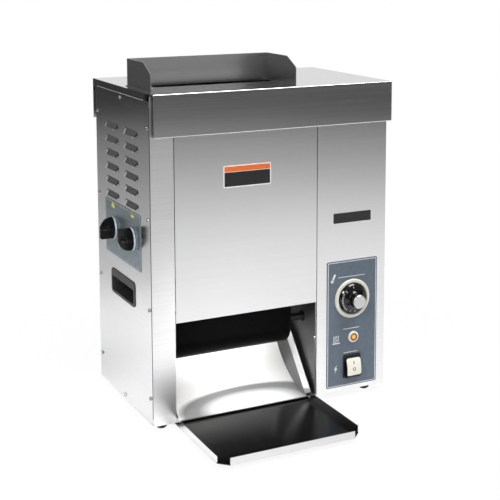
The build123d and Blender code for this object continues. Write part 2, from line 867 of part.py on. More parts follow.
def rubber_foot(spot):
    """Tapered foot with a countersunk underside and a stud through the base pan."""
    with BuildPart() as foot:
        with BuildSketch(floor_plane()):
            with Locations(spot):
                Circle(foot_d / 2)
        extrude(amount=-foot_height, taper=foot_taper)
        chamfer(foot.edges().filter_by(GeomType.CIRCLE).sort_by(Axis.Z)[0], foot_edge)
        with BuildSketch(floor_plane(-foot_height)):
            with Locations(spot):
                Circle(foot_recess_d / 2)
        extrude(amount=foot_recess, mode=Mode.SUBTRACT)
        with BuildSketch(floor_plane()):
            with Locations(spot):
                Circle(foot_stud_d / 2)
        extrude(amount=foot_stud_length)
    return foot


foot_front_left, foot_front_right, foot_rear_left, foot_rear_right = [
    rubber_foot(spot) for spot in foot_spots
]

# ================================================================== exit: slide, tray, runners
slide_start = (sheet + gap, 2 * sheet)
slide_tangent = (cos(radians(slide_start_angle)), sin(radians(slide_start_angle)))
with BuildSketch() as slide_section:
    with BuildLine():
        curve = JernArc(slide_start, slide_tangent, slide_radius, slide_sweep)
        Line(curve @ 1, ((curve @ 1).X, slide_top))
        offset(amount=sheet, side=Side.RIGHT)
    make_face()
slide_back = (curve @ 1).X


def cheek_edge(z):
    """Point at height z on the straight front edge of the slide's cheeks."""
    return (slide_start[0] + (z - slide_start[1]) / tan(radians(cheek_angle)), z)


def cheek_section(top):
    """Side of the slide: curved below, straight in front and level on top."""
    with BuildSketch() as cheek:
        with BuildLine():
            foot = JernArc(slide_start, slide_tangent, slide_radius, slide_sweep)
            Polyline(foot @ 1, (slide_back, top), cheek_edge(top), slide_start)
        make_face()
    return cheek.sketch


cheek_flange_section = bent_sheet(
    [cheek_edge(cheek_flange_low), cheek_edge(high_cheek_top)], side=Side.RIGHT
)
with BuildPart() as discharge_slide:
    with BuildSketch(side_plane(slide_left)):
        add(slide_section.sketch)
    extrude(amount=slide_right - slide_left)
    with BuildSketch(side_plane(slide_left)):
        add(cheek_section(low_cheek_top))
    extrude(amount=sheet)
    with BuildSketch(side_plane(slide_right - sheet)):
        add(cheek_section(high_cheek_top))
    extrude(amount=sheet)
    with BuildSketch(side_plane(slide_right - sheet)):
        add(cheek_flange_section)
    extrude(amount=sheet + cheek_flange)

# Tray: floor with cut front corners, three lips and a tongue that slides into the runners.
tray_right = tray_left + tray_width
with BuildPart() as tray:
    with BuildSketch(floor_plane(tray_floor)):
        with BuildLine():
            Polyline(
                (tray_left, tray_under),
                (tray_left, -tray_reach + tray_corner),
                (tray_left + tray_corner, -tray_reach),
                (tray_right - tray_corner, -tray_reach),
                (tray_right, -tray_reach + tray_corner),
                (tray_right, tray_under),
                close=True,
            )
        make_face()
        rect((tongue_left, tray_under), (tongue_left + tongue_width, tongue_length))
    extrude(amount=sheet)
    with BuildSketch(floor_plane(tray_floor + sheet)):
        rect((tray_left, tray_corner - tray_reach), (tray_left + sheet, -tray_lip_gap))
        rect((tray_left + tray_corner, -tray_reach), (tray_right - tray_corner, sheet - tray_reach))
        rect((tray_right - sheet, tray_corner - tray_reach), (tray_right, -tray_lip_gap))
    extrude(amount=tray_lip - sheet)

# Two channel runners under the base pan that hold the tray's tongue.
runner_low = tray_floor - gap
tongue_right = tongue_left + tongue_width
left_runner = bent_sheet(
    [(tongue_left + runner_grip, runner_low), (tongue_left - gap, runner_low),
     (tongue_left - gap, -sheet), (tongue_left + runner_grip, -sheet)],
    side=Side.LEFT,
)
right_runner = bent_sheet(
    [(tongue_right - runner_grip, runner_low), (tongue_right + gap, runner_low),
     (tongue_right + gap, -sheet), (tongue_right - runner_grip, -sheet)],
    side=Side.RIGHT,
)
with BuildPart() as tray_runners:
    with BuildSketch(front_plane(runner_start)):
        add(left_runner)
        add(right_runner)
    extrude(amount=-runner_length)

# ================================================================== belt carriage
belt_mid = (roller_y, (drive_z + top_roller_z) / 2)


def belt_frame(x, with_follower):
    """Side plate of the carriage, bored for both rollers; one plate carries the cam follower."""
    with BuildPart() as plate:
        with BuildSketch(side_plane(x)):
            with Locations(belt_mid):
                SlotCenterToCenter(roller_spacing, frame_strip, rotation=90)
        extrude(amount=frame_plate)
        if with_follower:
            with BuildSketch(side_plane(x)):
                with Locations((heel_follower_y, knob_z)):
                    Circle(follower_d)
                with Locations((roller_y, knob_z)):
                    Rectangle(frame_strip / 2, frame_strip)
                make_hull()
            extrude(amount=frame_plate)
            with BuildSketch(side_plane(cam_x)):
                with Locations((heel_follower_y, knob_z)):
                    Circle(follower_d / 2)
            extrude(amount=x - cam_x)
        with BuildSketch(side_plane(x)):
            with Locations((roller_y, drive_z)):
                Circle(drive_shaft_d / 2 + running)
            with Locations((roller_y, top_roller_z)):
                Circle(stub_d / 2 + running)
        extrude(amount=frame_plate, mode=Mode.SUBTRACT)
    return plate


belt_frame_left = belt_frame(frame_left, True)
belt_frame_right = belt_frame(frame_right, False)

with BuildPart() as belt_tie_bars:
    with BuildSketch(side_plane(frame_left + frame_plate)):
        with Locations(*[(roller_y, z) for z in tie_bar_heights]):
            Circle(tie_bar_d / 2)
    extrude(amount=frame_right - frame_left - frame_plate)

with BuildPart() as conveyor_belt:
    with BuildSketch(side_plane(belt_left)):
        with Locations(belt_mid):
            SlotCenterToCenter(roller_spacing, 2 * belt_outer_r, rotation=90)
            SlotCenterToCenter(roller_spacing, 2 * belt_inner_r, rotation=90, mode=Mode.SUBTRACT)
    extrude(amount=belt_width)

# Slider plate behind the working run of the belt, folded to reach the side plates.
slider_face = roller_y + belt_inner_r - gap
slider_edge = roller_y + frame_strip / 2 - slider_grip
slider_section = bent_sheet(
    [(frame_left + frame_plate + slider_sheet, slider_edge),
     (frame_left + frame_plate + slider_sheet, slider_face - slider_sheet),
     (frame_right - slider_sheet, slider_face - slider_sheet),
     (frame_right - slider_sheet, slider_edge)],
    thickness=slider_sheet,
)
with BuildPart() as belt_slider:
    with BuildSketch(floor_plane(drive_z + slider_low)):
        add(slider_section)
    extrude(amount=roller_spacing - 2 * slider_low)

# Drive shaft, drive roller and top roller.
with BuildPart() as drive_shaft:
    with BuildSketch(side_plane(wall_left - shaft_over)):
        with Locations((roller_y, drive_z)):
            Circle(drive_shaft_d / 2)
    extrude(amount=gear_x + gear_width - wall_left + 2 * shaft_over)
    chamfer(drive_shaft.edges().filter_by(GeomType.CIRCLE), shaft_edge)

roller_left = belt_left + roller_end_gap
roller_right = belt_right - roller_end_gap
roller_r = roller_d / 2
hub_r = roller_hub_d / 2
drive_bore = drive_shaft_d / 2 + seat
roller_section = turned([
    (roller_left, drive_bore), (roller_left + roller_hub_length, drive_bore),
    (roller_left + roller_hub_length, hub_r), (roller_left + roller_shell, hub_r),
    (roller_left + roller_shell, roller_r - roller_shell),
    (roller_right - roller_shell, roller_r - roller_shell),
    (roller_right - roller_shell, hub_r), (roller_right - roller_hub_length, hub_r),
    (roller_right - roller_hub_length, drive_bore), (roller_right, drive_bore),
    (roller_right, roller_r), (roller_left, roller_r),
])
with BuildPart() as drive_roller:
    with BuildSketch(turned_on_x(0, roller_y, drive_z)):
        add(roller_section)
    revolve(axis=axis_x(roller_y, drive_z))

stub_r = stub_d / 2
stub_left = frame_left - stub_over
stub_right = frame_right + frame_plate + stub_over
top_roller_section = turned([
    (stub_left, 0), (stub_left, stub_r), (roller_left, stub_r), (roller_left, roller_r),
    (roller_right, roller_r), (roller_right, stub_r), (stub_right, stub_r), (stub_right, 0),
])
with BuildPart() as top_roller:
    with BuildSketch(turned_on_x(0, roller_y, top_roller_z)):
        add(top_roller_section)
    revolve(axis=axis_x(roller_y, top_roller_z))

with BuildPart() as drive_bearings:
    for x_flange, x_body in (
        (wall_left - bearing_flange, wall_left),
        (wall_right + sheet, wall_right - bearing_nose),
    ):
        with BuildSketch(side_plane(x_flange)):
            with Locations((roller_y, drive_z)):
                Circle(bearing_flange_d / 2)
        extrude(amount=bearing_flange)
        with BuildSketch(side_plane(x_body)):
            with Locations((roller_y, drive_z)):
                Circle(bearing_d / 2)
        extrude(amount=sheet + bearing_nose)
    with BuildSketch(side_plane(0)):
        with Locations((roller_y, drive_z)):
            Circle(drive_shaft_d / 2 + running)
    extrude(amount=cab_width, mode=Mode.SUBTRACT)


# ================================================================== gears and motor
def gear_outline(teeth):
    """Spur gear with involute flanks; one tooth lies on the sketch's x axis."""
    pitch_r = gear_module * teeth / 2
    base_r = pitch_r * cos(radians(pressure_angle))
    root_r = pitch_r - gear_dedendum * gear_module
    tip_r = pitch_r + gear_addendum * gear_module
    involute = tan(radians(pressure_angle)) - radians(pressure_angle)
    half_tooth = pi / (2 * teeth) - backlash / (2 * pitch_r) + involute
    first_r = max(base_r, root_r)
    flank = [(root_r - flank_overlap, half_tooth)]
    for step in range(flank_steps + 1):
        r = first_r + (tip_r - first_r) * step / flank_steps
        roll = acos(base_r / r)
        flank.append((r, half_tooth - (tan(roll) - roll)))
    upper = [(r * cos(a), r * sin(a)) for r, a in flank]
    lower = [(x, -y) for x, y in reversed(upper)]
    with BuildSketch() as outline:
        Circle(root_r)
        with PolarLocations(0, teeth):
            Polygon(*upper, *lower, align=None)
    return outline.sketch


gear_face = gear_outline(gear_teeth)
pinion_face = gear_outline(pinion_teeth)
with BuildPart() as drive_gear:
    with BuildSketch(Plane(origin=(left + gear_x, front + roller_y, bottom + drive_z),
                           x_dir=(0, 1, 0), z_dir=(1, 0, 0))):
        add(gear_face)
        Circle(drive_shaft_d / 2 + seat, mode=Mode.SUBTRACT)
    extrude(amount=gear_width)

with BuildPart() as motor_pinion:
    with BuildSketch(Plane(origin=(left + gear_x, front + pinion_y, bottom + drive_z),
                           x_dir=(0, 1, 0), z_dir=(1, 0, 0))):
        add(pinion_face)
    extrude(amount=gear_width)
    with BuildSketch(side_plane(gear_x - pinion_nose)):
        with Locations((pinion_y, drive_z)):
            Circle(pinion_shaft_d / 2)
    extrude(amount=bracket_x + bracket_plate + pinion_engage - gear_x + pinion_nose)

gearbox_x = bracket_x + bracket_plate
with BuildPart() as motor_bracket:
    with BuildSketch(side_plane(bracket_x)):
        rect(
            (pinion_y - bracket_width / 2, sheet),
            (pinion_y + bracket_width / 2, drive_z + gearbox_size[2] / 2 + bracket_over),
        )
        with Locations((pinion_y, drive_z)):
            Circle(pinion_shaft_d, mode=Mode.SUBTRACT)
    extrude(amount=bracket_plate)
    with BuildSketch(floor_plane(sheet)):
        rect(
            (gearbox_x, pinion_y - bracket_width / 2),
            (gearbox_x + bracket_foot, pinion_y + bracket_width / 2),
        )
    extrude(amount=bracket_plate)

with BuildPart() as gearmotor:
    with BuildSketch(side_plane(gearbox_x)):
        with Locations((pinion_y, drive_z)):
            RectangleRounded(gearbox_size[1], gearbox_size[2], gearbox_corner)
    extrude(amount=gearbox_size[0])
    with BuildSketch(side_plane(gearbox_x + gearbox_size[0])):
        with Locations((pinion_y, drive_z)):
            Circle(motor_d / 2)
    extrude(amount=motor_length)
    chamfer(gearmotor.edges().filter_by(GeomType.CIRCLE).sort_by(Axis.X)[-1], motor_edge)
    with BuildSketch(side_plane(gearbox_x)):
        with Locations((pinion_y, drive_z)):
            Circle(pinion_shaft_d / 2 + running)
    extrude(amount=pinion_engage + overcut, mode=Mode.SUBTRACT)

# ================================================================== platen carriage
element_path_points = [
    (carrier_left + element_margin, element_end),
    (carrier_left + element_margin, element_top),
    (carrier_left + element_margin + element_pitch, element_top),
    (carrier_left + element_margin + element_pitch, element_turn),
    (carrier_left + element_margin + 2 * element_pitch, element_turn),
    (carrier_left + element_margin + 2 * element_pitch, element_top),
    (carrier_left + element_margin + 3 * element_pitch, element_top),
    (carrier_left + element_margin + 3 * element_pitch, element_end),
]


def element_bar(radius):
    """Round bar bent to and fro across the platen's back."""
    with BuildPart() as bar:
        with BuildLine(front_plane(platen_back)) as path:
            FilletPolyline(*element_path_points, radius=element_bend)
        with BuildSketch(Plane(origin=path.line @ 0, z_dir=path.line % 0)):
            Circle(radius)
        sweep(path=path.line)
    return bar.part


element_part = element_bar(element_d / 2)
element_groove = element_bar(element_d / 2 + seat)
with BuildPart() as heating_element:
    add(element_part)

with BuildPart() as platen:
    with BuildSketch(floor_plane(platen_low)):
        rect((carrier_left + sheet, platen_y), (carrier_right - sheet, platen_back))
    extrude(amount=platen_height)
    add(element_groove, mode=Mode.SUBTRACT)

carrier_section = bent_sheet(
    [(carrier_left + sheet, platen_y), (carrier_left + sheet, carrier_back),
     (carrier_right - sheet, carrier_back), (carrier_right - sheet, platen_y)],
)
bulb_y = carrier_back + sheet + bulb_d / 2 + bulb_stand
follower_low = knob_z - follower_d - follower_margin
follower_high = knob_z + follower_d + follower_margin
with BuildPart() as platen_carrier:
    with BuildSketch(floor_plane(platen_low)):
        add(carrier_section)
    extrude(amount=platen_height)
    for ear_x in (carrier_left, carrier_right - sheet):
        with BuildSketch(side_plane(ear_x)):
            with Locations((pivot_y, pivot_z)):
                Circle(pivot_pin_d)
            rect((platen_y, platen_low), (carrier_back, platen_low + ear_rise))
            make_hull()
        extrude(amount=sheet)
    with BuildSketch(side_plane(carrier_left)):
        with Locations((crown_follower_y, knob_z)):
            Circle(follower_d)
        rect((platen_y, follower_low), (carrier_back, follower_high))
        make_hull()
    extrude(amount=sheet)
    with BuildSketch(side_plane(cam_x)):
        with Locations((crown_follower_y, knob_z)):
            Circle(follower_d / 2)
    extrude(amount=carrier_left - cam_x)
    with BuildSketch(side_plane(carrier_left)):
        with Locations((pivot_y, pivot_z)):
            Circle(pivot_pin_d / 2 + running)
    extrude(amount=carrier_right - carrier_left, mode=Mode.SUBTRACT)
    for clip_x in (bulb_x + clip_inset, bulb_x + bulb_length - clip_inset - bulb_clip):
        with BuildSketch(side_plane(clip_x)):
            rect(
                (carrier_back + sheet, bulb_z - bulb_d),
                (bulb_y + bulb_d / 2 + clip_wall, bulb_z + bulb_d),
            )
            with Locations((bulb_y, bulb_z)):
                Circle(bulb_d / 2 + seat, mode=Mode.SUBTRACT)
        extrude(amount=bulb_clip)

with BuildPart() as thermostat_bulb:
    with BuildSketch(side_plane(bulb_x)):
        with Locations((bulb_y, bulb_z)):
            Circle(bulb_d / 2)
    extrude(amount=bulb_length)
    fillet(thermostat_bulb.edges().filter_by(GeomType.CIRCLE), bulb_d / 2 - bulb_end)

pin_head_d = pivot_pin_d + pin_head_over
pin_left_end = carrier_left + sheet + pin_over
pin_right_end = carrier_right - sheet - pin_over
with BuildPart() as platen_pivot_pins:
    for head_x, shank_x, shank_length in (
        (wall_left - pin_head, wall_left, pin_left_end - wall_left),
        (wall_right + sheet, pin_right_end, wall_right + sheet - pin_right_end),
    ):
        with BuildSketch(side_plane(head_x)):
            with Locations((pivot_y, pivot_z)):
                Circle(pin_head_d / 2)
        extrude(amount=pin_head)
        with BuildSketch(side_plane(shank_x)):
            with Locations((pivot_y, pivot_z)):
                Circle(pivot_pin_d / 2)
        extrude(amount=shank_length)


# ================================================================== adjusting knobs and cams
def adjusting_knob(y, pointer):
    """Round skirt with a thin blade grip on a hub; pointer is +1 when its sloped end points up."""
    centre = (left - knob_base, front + y, bottom + knob_z)
    base = Plane(origin=centre, x_dir=(0, -1, 0), z_dir=(-1, 0, 0))
    profile = Plane(origin=centre, x_dir=(0, 0, pointer), z_dir=(0, -pointer, 0))
    half_bar = knob_bar_length / 2
    with BuildPart() as knob:
        with BuildSketch(profile):
            with BuildLine():
                Polyline(
                    (knob_crest, knob_depth),
                    (knob_tip - half_bar, knob_depth),
                    (-half_bar, knob_depth - knob_tip),
                    (-half_bar, knob_skirt / 2),
                    (half_bar, knob_skirt / 2),
                    (half_bar, knob_skirt),
                )
                ThreePointArc(
                    (half_bar, knob_skirt),
                    (knob_crest + knob_swell * (half_bar - knob_crest), knob_swell * knob_depth),
                    (knob_crest, knob_depth),
                )
            make_face()
        extrude(amount=knob_blade / 2, both=True)
        with BuildSketch(base):
            Circle(knob_hub_d / 2 - knob_hub_edge)
        extrude(amount=knob_hub_length)
        with BuildSketch(base):
            Circle(knob_hub_d / 2)
        extrude(amount=knob_hub_length - knob_hub_edge)
        with BuildSketch(base):
            Circle(knob_d / 2)
        extrude(amount=knob_skirt)
        chamfer(knob.faces().filter_by(Plane.YZ).sort_by(Axis.X)[-1].outer_wire().edges(), knob_edge)
        with BuildSketch(base):
            Circle(spindle_d / 2 + seat)
        extrude(amount=knob_bore, mode=Mode.SUBTRACT)
    return knob


spindle_end = spindle_tip - knob_base - knob_bore
heel_knob = adjusting_knob(heel_knob_y, -1)
crown_knob = adjusting_knob(crown_knob_y, 1)


def spindle(y, towards, lever, shift_sign):
    """Spindle with its cam; towards is the direction of the follower, 0 or 180 degrees."""
    swing = radians(carriage_travel)
    stud_y = follower_offset + swing * lever[1]
    stud_z = shift_sign * swing * lever[0]
    start_r = follower_offset - follower_d / 2 - cam_gap
    end_r = hypot(stud_y, stud_z) - follower_d / 2 - cam_gap
    rise = (end_r - start_r) / pi
    rising = [-cam_margin + (pi + 2 * cam_margin) * step / cam_steps for step in range(cam_steps + 1)]
    outline = [(start_r + rise * turn, turn) for turn in rising]
    for step in range(1, return_steps):
        share = step / return_steps
        turn = pi + cam_margin + (pi - 2 * cam_margin) * share
        low_r = start_r - rise * cam_margin
        high_r = end_r + rise * cam_margin
        outline.append((low_r + (high_r - low_r) * (1 + cos(pi * share)) / 2, turn))
    base_angle = radians(towards)
    points = [
        (y + r * cos(base_angle - turn), knob_z + r * sin(base_angle - turn)) for r, turn in outline
    ]
    with BuildPart() as shaft:
        with BuildSketch(side_plane(spindle_end)):
            with Locations((y, knob_z)):
                Circle(spindle_d / 2)
        extrude(amount=wall_left + sheet - spindle_end)
        with BuildSketch(side_plane(bush_length + gap)):
            with Locations((y, knob_z)):
                Circle(collar_d / 2)
        extrude(amount=collar_width)
        with BuildSketch(side_plane(cam_x)):
            with BuildLine():
                Spline(*points, periodic=True)
            make_face()
        extrude(amount=cam_width)
    return shaft


heel_spindle = spindle(heel_knob_y, 0, heel_lever, -1)
crown_spindle = spindle(crown_knob_y, 180, crown_lever, 1)

with BuildPart() as spindle_bushes:
    with BuildSketch(side_plane(0)):
        with Locations((heel_knob_y, knob_z), (crown_knob_y, knob_z)):
            Circle(bush_d / 2)
    extrude(amount=bush_length)
    with BuildSketch(side_plane(sheet)):
        with Locations((heel_knob_y, knob_z), (crown_knob_y, knob_z)):
            Circle(bush_flange_d / 2)
    extrude(amount=bush_flange)
    with BuildSketch(side_plane(0)):
        with Locations((heel_knob_y, knob_z), (crown_knob_y, knob_z)):
            Circle(spindle_d / 2 + running)
    extrude(amount=bush_length, mode=Mode.SUBTRACT)

with BuildPart() as scale_plate:
    with BuildSketch(side_plane(-plate_sheet)):
        with Locations((scale_plate_y + scale_plate_length / 2, scale_plate_z + scale_plate_height / 2)):
            RectangleRounded(scale_plate_length, scale_plate_height, scale_plate_corner)
        with Locations((heel_knob_y, knob_z), (crown_knob_y, knob_z)):
            Circle(spindle_d / 2 + spindle_room, mode=Mode.SUBTRACT)
    extrude(amount=plate_sheet)

# ================================================================== controls on the right column
with BuildPart() as control_plate:
    with BuildSketch(front_plane(0)):
        with Locations((dial_x, control_plate_low + control_plate_height / 2)):
            RectangleRounded(control_plate_width, control_plate_height, scale_plate_corner)
        with Locations((dial_x, dial_z)):
            Circle(stem_d, mode=Mode.SUBTRACT)
        with Locations((lamp_x, lamp_z)):
            Circle(lamp_shank_d / 2 + seat, mode=Mode.SUBTRACT)
        with Locations((switch_x, switch_z)):
            Rectangle(switch_body[0] + 2 * seat, switch_body[1] + 2 * seat, mode=Mode.SUBTRACT)
    extrude(amount=plate_sheet)

bezel_top = plate_sheet + bezel_rise
bezel_section = turned([
    (bezel_bore / 2, plate_sheet), (bezel_bore / 2, bezel_top - bezel_inner_edge),
    (bezel_bore / 2 + bezel_inner_edge, bezel_top), (bezel_d / 2 - bezel_outer_edge, bezel_top),
    (bezel_d / 2, bezel_top - bezel_outer_edge), (bezel_d / 2, plate_sheet),
])
with BuildPart() as thermostat_bezel:
    with BuildSketch(turned_on_y(dial_x, 0, dial_z)):
        add(bezel_section)
    revolve(axis=axis_y(dial_x, dial_z))

with BuildPart() as thermostat_body:
    with BuildSketch(front_plane(sheet + thermostat_size[2])):
        with Locations((dial_x, dial_z)):
            RectangleRounded(thermostat_size[0], thermostat_size[1], thermostat_corner)
    extrude(amount=thermostat_size[2])
    with BuildSketch(front_plane(sheet + stem_engage + overcut)):
        with Locations((dial_x, dial_z)):
            Circle(stem_d / 2 + running)
    extrude(amount=stem_engage + overcut, mode=Mode.SUBTRACT)

dial_base = plate_sheet + knob_clearance
dial_edge = dial_base + dial_thickness / 2 + dial_shoulder
dial_top = dial_base + dial_thickness
with BuildPart() as thermostat_knob:
    with BuildSketch(turned_on_y(dial_x, 0, dial_z)):
        with BuildLine():
            Polyline(
                (grip_d / 2, dial_top + dial_thickness),
                (grip_d / 2, grip_reach),
                (0, grip_reach),
                (0, -sheet - stem_engage),
                (stem_d / 2, -sheet - stem_engage),
                (stem_d / 2, dial_base),
                (dial_d / 2, dial_base),
                (dial_d / 2, dial_edge),
                (dial_d / 2 - dial_bevel, dial_top),
            )
            ThreePointArc(
                (dial_d / 2 - dial_bevel, dial_top),
                (grip_d / 2 + dial_waist[0], dial_top + dial_waist[1]),
                (grip_d / 2, dial_top + dial_thickness),
            )
        make_face()
    revolve(axis=axis_y(dial_x, dial_z))

cap_top = grip_reach + grip_cap_rise
cap_section = turned([
    (0, grip_reach), (grip_cap_d / 2, grip_reach), (grip_cap_d / 2, cap_top - grip_cap_edge),
    (grip_cap_d / 2 - grip_cap_edge, cap_top), (0, cap_top),
])
with BuildPart() as thermostat_cap:
    with BuildSketch(turned_on_y(dial_x, 0, dial_z)):
        add(cap_section)
    revolve(axis=axis_y(dial_x, dial_z))

lens_seat = plate_sheet + lens_floor
lamp_top = plate_sheet + lamp_rise
lamp_section = turned([
    (lens_d / 2 + seat, lens_seat), (lens_d / 2 + seat, lamp_top),
    (lamp_d / 2 - lamp_bevel, lamp_top), (lamp_d / 2, lamp_top - lamp_bevel), (lamp_d / 2, plate_sheet),
    (lamp_shank_d / 2, plate_sheet), (lamp_shank_d / 2, -lamp_depth), (0, -lamp_depth), (0, lens_seat),
])
with BuildPart() as lamp_bezel:
    with BuildSketch(turned_on_y(lamp_x, 0, lamp_z)):
        add(lamp_section)
    revolve(axis=axis_y(lamp_x, lamp_z))

with BuildPart() as lamp_lens:
    with BuildSketch(front_plane(-lens_seat)):
        with Locations((lamp_x, lamp_z)):
            Circle(lens_d / 2)
    extrude(amount=lens_rise)
    fillet(lamp_lens.edges().filter_by(GeomType.CIRCLE).sort_by(Axis.Y)[0], lens_roundness * lens_rise)

well_width = rocker_width + 2 * rocker_gap
well_height = switch_height - 2 * switch_wall
with BuildPart() as switch_housing:
    with BuildSketch(front_plane(-plate_sheet)):
        with Locations((switch_x, switch_z)):
            RectangleRounded(switch_width, switch_height, switch_corner)
    extrude(amount=switch_rise, taper=switch_taper)
    with BuildSketch(front_plane(-plate_sheet)):
        with Locations((switch_x, switch_z)):
            Rectangle(*switch_body)
    extrude(amount=-(plate_sheet + sheet + switch_depth))
    with BuildSketch(front_plane(-plate_sheet - switch_rise)):
        with Locations((switch_x, switch_z)):
            Rectangle(well_width, well_height)
    extrude(amount=-(plate_sheet + switch_rise + well_depth), mode=Mode.SUBTRACT)
    with BuildSketch(side_plane(switch_x - switch_body[0] / 2)):
        with Locations((rocker_pivot_y, switch_z)):
            Circle(rocker_pin_d / 2 + running)
    extrude(amount=switch_body[0], mode=Mode.SUBTRACT)

# Rocker, drawn in the position it rests in.
rocker_plane = Plane(
    origin=(left + switch_x, front + rocker_pivot_y, bottom + switch_z),
    x_dir=(0, cos(radians(-rocker_tilt)), sin(radians(-rocker_tilt))),
    z_dir=(1, 0, 0),
)
rocker_half = rocker_height / 2
rocker_front = -(rocker_rise + rocker_pivot_y)
with BuildPart() as power_rocker:
    with BuildSketch(rocker_plane):
        with BuildLine():
            Polyline(
                (rocker_front + rocker_crown, rocker_half),
                (rocker_root, rocker_half),
                (rocker_root, -rocker_half),
                (rocker_front + rocker_crown, -rocker_half),
            )
            ThreePointArc(
                (rocker_front + rocker_crown, -rocker_half),
                (rocker_front, 0),
                (rocker_front + rocker_crown, rocker_half),
            )
        make_face()
    extrude(amount=rocker_width / 2, both=True)
    with BuildSketch(rocker_plane):
        Circle(rocker_pin_d / 2)
    extrude(amount=switch_body[0] / 2 - rocker_pin_gap, both=True)

# ================================================================== electrical pieces inside
with BuildPart() as terminal_block:
    with BuildSketch(floor_plane(sheet)):
        with Locations((terminal_x, terminal_y)):
            Rectangle(*terminal_size[:2])
    extrude(amount=terminal_size[2])
    with BuildSketch(floor_plane(sheet + terminal_size[2])):
        with Locations((terminal_x, terminal_y)):
            with GridLocations(terminal_pitch, terminal_size[1] / 2, terminal_poles, 2):
                Circle(terminal_hole_d / 2)
    extrude(amount=-terminal_hole, mode=Mode.SUBTRACT)

gland_r = gland_d / 2
neck_r = gland_r - gland_neck
nut_back = sheet + gland_nut
gland_section = turned([
    (gland_bore / 2, -gland_reach), (neck_r, -gland_reach), (gland_r, gland_neck - gland_reach),
    (gland_r, 0), (neck_r, 0), (neck_r, sheet), (gland_r, sheet), (gland_r, nut_back),
    (neck_r, nut_back), (neck_r, nut_back + gland_tail), (gland_bore / 2, nut_back + gland_tail),
])
with BuildPart() as cord_gland:
    with BuildSketch(turned_on_y(gland_x, cab_depth, gland_z)):
        add(gland_section)
    revolve(axis=axis_y(gland_x, gland_z))

# ================================================================== files
base_pan.part.label = "base_pan"
export_step(base_pan.part, "parts/base_pan.step")
left_side_panel.part.label = "left_side_panel"
export_step(left_side_panel.part, "parts/left_side_panel.step")
right_side_panel.part.label = "right_side_panel"
export_step(right_side_panel.part, "parts/right_side_panel.step")
left_front_column.part.label = "left_front_column"
export_step(left_front_column.part, "parts/left_front_column.step")
control_column.part.label = "control_column"
export_step(control_column.part, "parts/control_column.step")
front_panel.part.label = "front_panel"
export_step(front_panel.part, "parts/front_panel.step")
back_panel.part.label = "back_panel"
export_step(back_panel.part, "parts/back_panel.step")
top_frame.part.label = "top_frame"
export_step(top_frame.part, "parts/top_frame.step")
top_lid.part.label = "top_lid"
export_step(top_lid.part, "parts/top_lid.step")
feed_hopper.part.label = "feed_hopper"
export_step(feed_hopper.part, "parts/feed_hopper.step")
chamber_wall_left.part.label = "chamber_wall_left"
export_step(chamber_wall_left.part, "parts/chamber_wall_left.step")
chamber_wall_right.part.label = "chamber_wall_right"
export_step(chamber_wall_right.part, "parts/chamber_wall_right.step")
heat_shield.part.label = "heat_shield"
export_step(heat_shield.part, "parts/heat_shield.step")
left_handle_cup.part.label = "left_handle_cup"
export_step(left_handle_cup.part, "parts/left_handle_cup.step")
right_handle_cup.part.label = "right_handle_cup"
export_step(right_handle_cup.part, "parts/right_handle_cup.step")
panel_screws.part.label = "panel_screws"
export_step(panel_screws.part, "parts/panel_screws.step")
foot_front_left.part.label = "foot_front_left"
export_step(foot_front_left.part, "parts/foot_front_left.step")
foot_front_right.part.label = "foot_front_right"
export_step(foot_front_right.part, "parts/foot_front_right.step")
foot_rear_left.part.label = "foot_rear_left"
export_step(foot_rear_left.part, "parts/foot_rear_left.step")
foot_rear_right.part.label = "foot_rear_right"
export_step(foot_rear_right.part, "parts/foot_rear_right.step")
discharge_slide.part.label = "discharge_slide"
export_step(discharge_slide.part, "parts/discharge_slide.step")
tray.part.label = "tray"
export_step(tray.part, "parts/tray.step")
tray_runners.part.label = "tray_runners"
export_step(tray_runners.part, "parts/tray_runners.step")
belt_frame_left.part.label = "belt_frame_left"
export_step(belt_frame_left.part, "parts/belt_frame_left.step")
belt_frame_right.part.label = "belt_frame_right"
export_step(belt_frame_right.part, "parts/belt_frame_right.step")
belt_tie_bars.part.label = "belt_tie_bars"
export_step(belt_tie_bars.part, "parts/belt_tie_bars.step")
conveyor_belt.part.label = "conveyor_belt"
export_step(conveyor_belt.part, "parts/conveyor_belt.step")
belt_slider.part.label = "belt_slider"
export_step(belt_slider.part, "parts/belt_slider.step")
drive_shaft.part.label = "drive_shaft"
export_step(drive_shaft.part, "parts/drive_shaft.step")
drive_roller.part.label = "drive_roller"
export_step(drive_roller.part, "parts/drive_roller.step")
top_roller.part.label = "top_roller"
export_step(top_roller.part, "parts/top_roller.step")
drive_bearings.part.label = "drive_bearings"
export_step(drive_bearings.part, "parts/drive_bearings.step")
drive_gear.part.label = "drive_gear"
export_step(drive_gear.part, "parts/drive_gear.step")
motor_pinion.part.label = "motor_pinion"
export_step(motor_pinion.part, "parts/motor_pinion.step")
motor_bracket.part.label = "motor_bracket"
export_step(motor_bracket.part, "parts/motor_bracket.step")
gearmotor.part.label = "gearmotor"
export_step(gearmotor.part, "parts/gearmotor.step")
heating_element.part.label = "heating_element"
export_step(heating_element.part, "parts/heating_element.step")
platen.part.label = "platen"
export_step(platen.part, "parts/platen.step")
platen_carrier.part.label = "platen_carrier"
export_step(platen_carrier.part, "parts/platen_carrier.step")
thermostat_bulb.part.label = "thermostat_bulb"
export_step(thermostat_bulb.part, "parts/thermostat_bulb.step")
platen_pivot_pins.part.label = "platen_pivot_pins"
export_step(platen_pivot_pins.part, "parts/platen_pivot_pins.step")
heel_knob.part.label = "heel_knob"
export_step(heel_knob.part, "parts/heel_knob.step")
crown_knob.part.label = "crown_knob"
export_step(crown_knob.part, "parts/crown_knob.step")
heel_spindle.part.label = "heel_spindle"
export_step(heel_spindle.part, "parts/heel_spindle.step")
crown_spindle.part.label = "crown_spindle"
export_step(crown_spindle.part, "parts/crown_spindle.step")
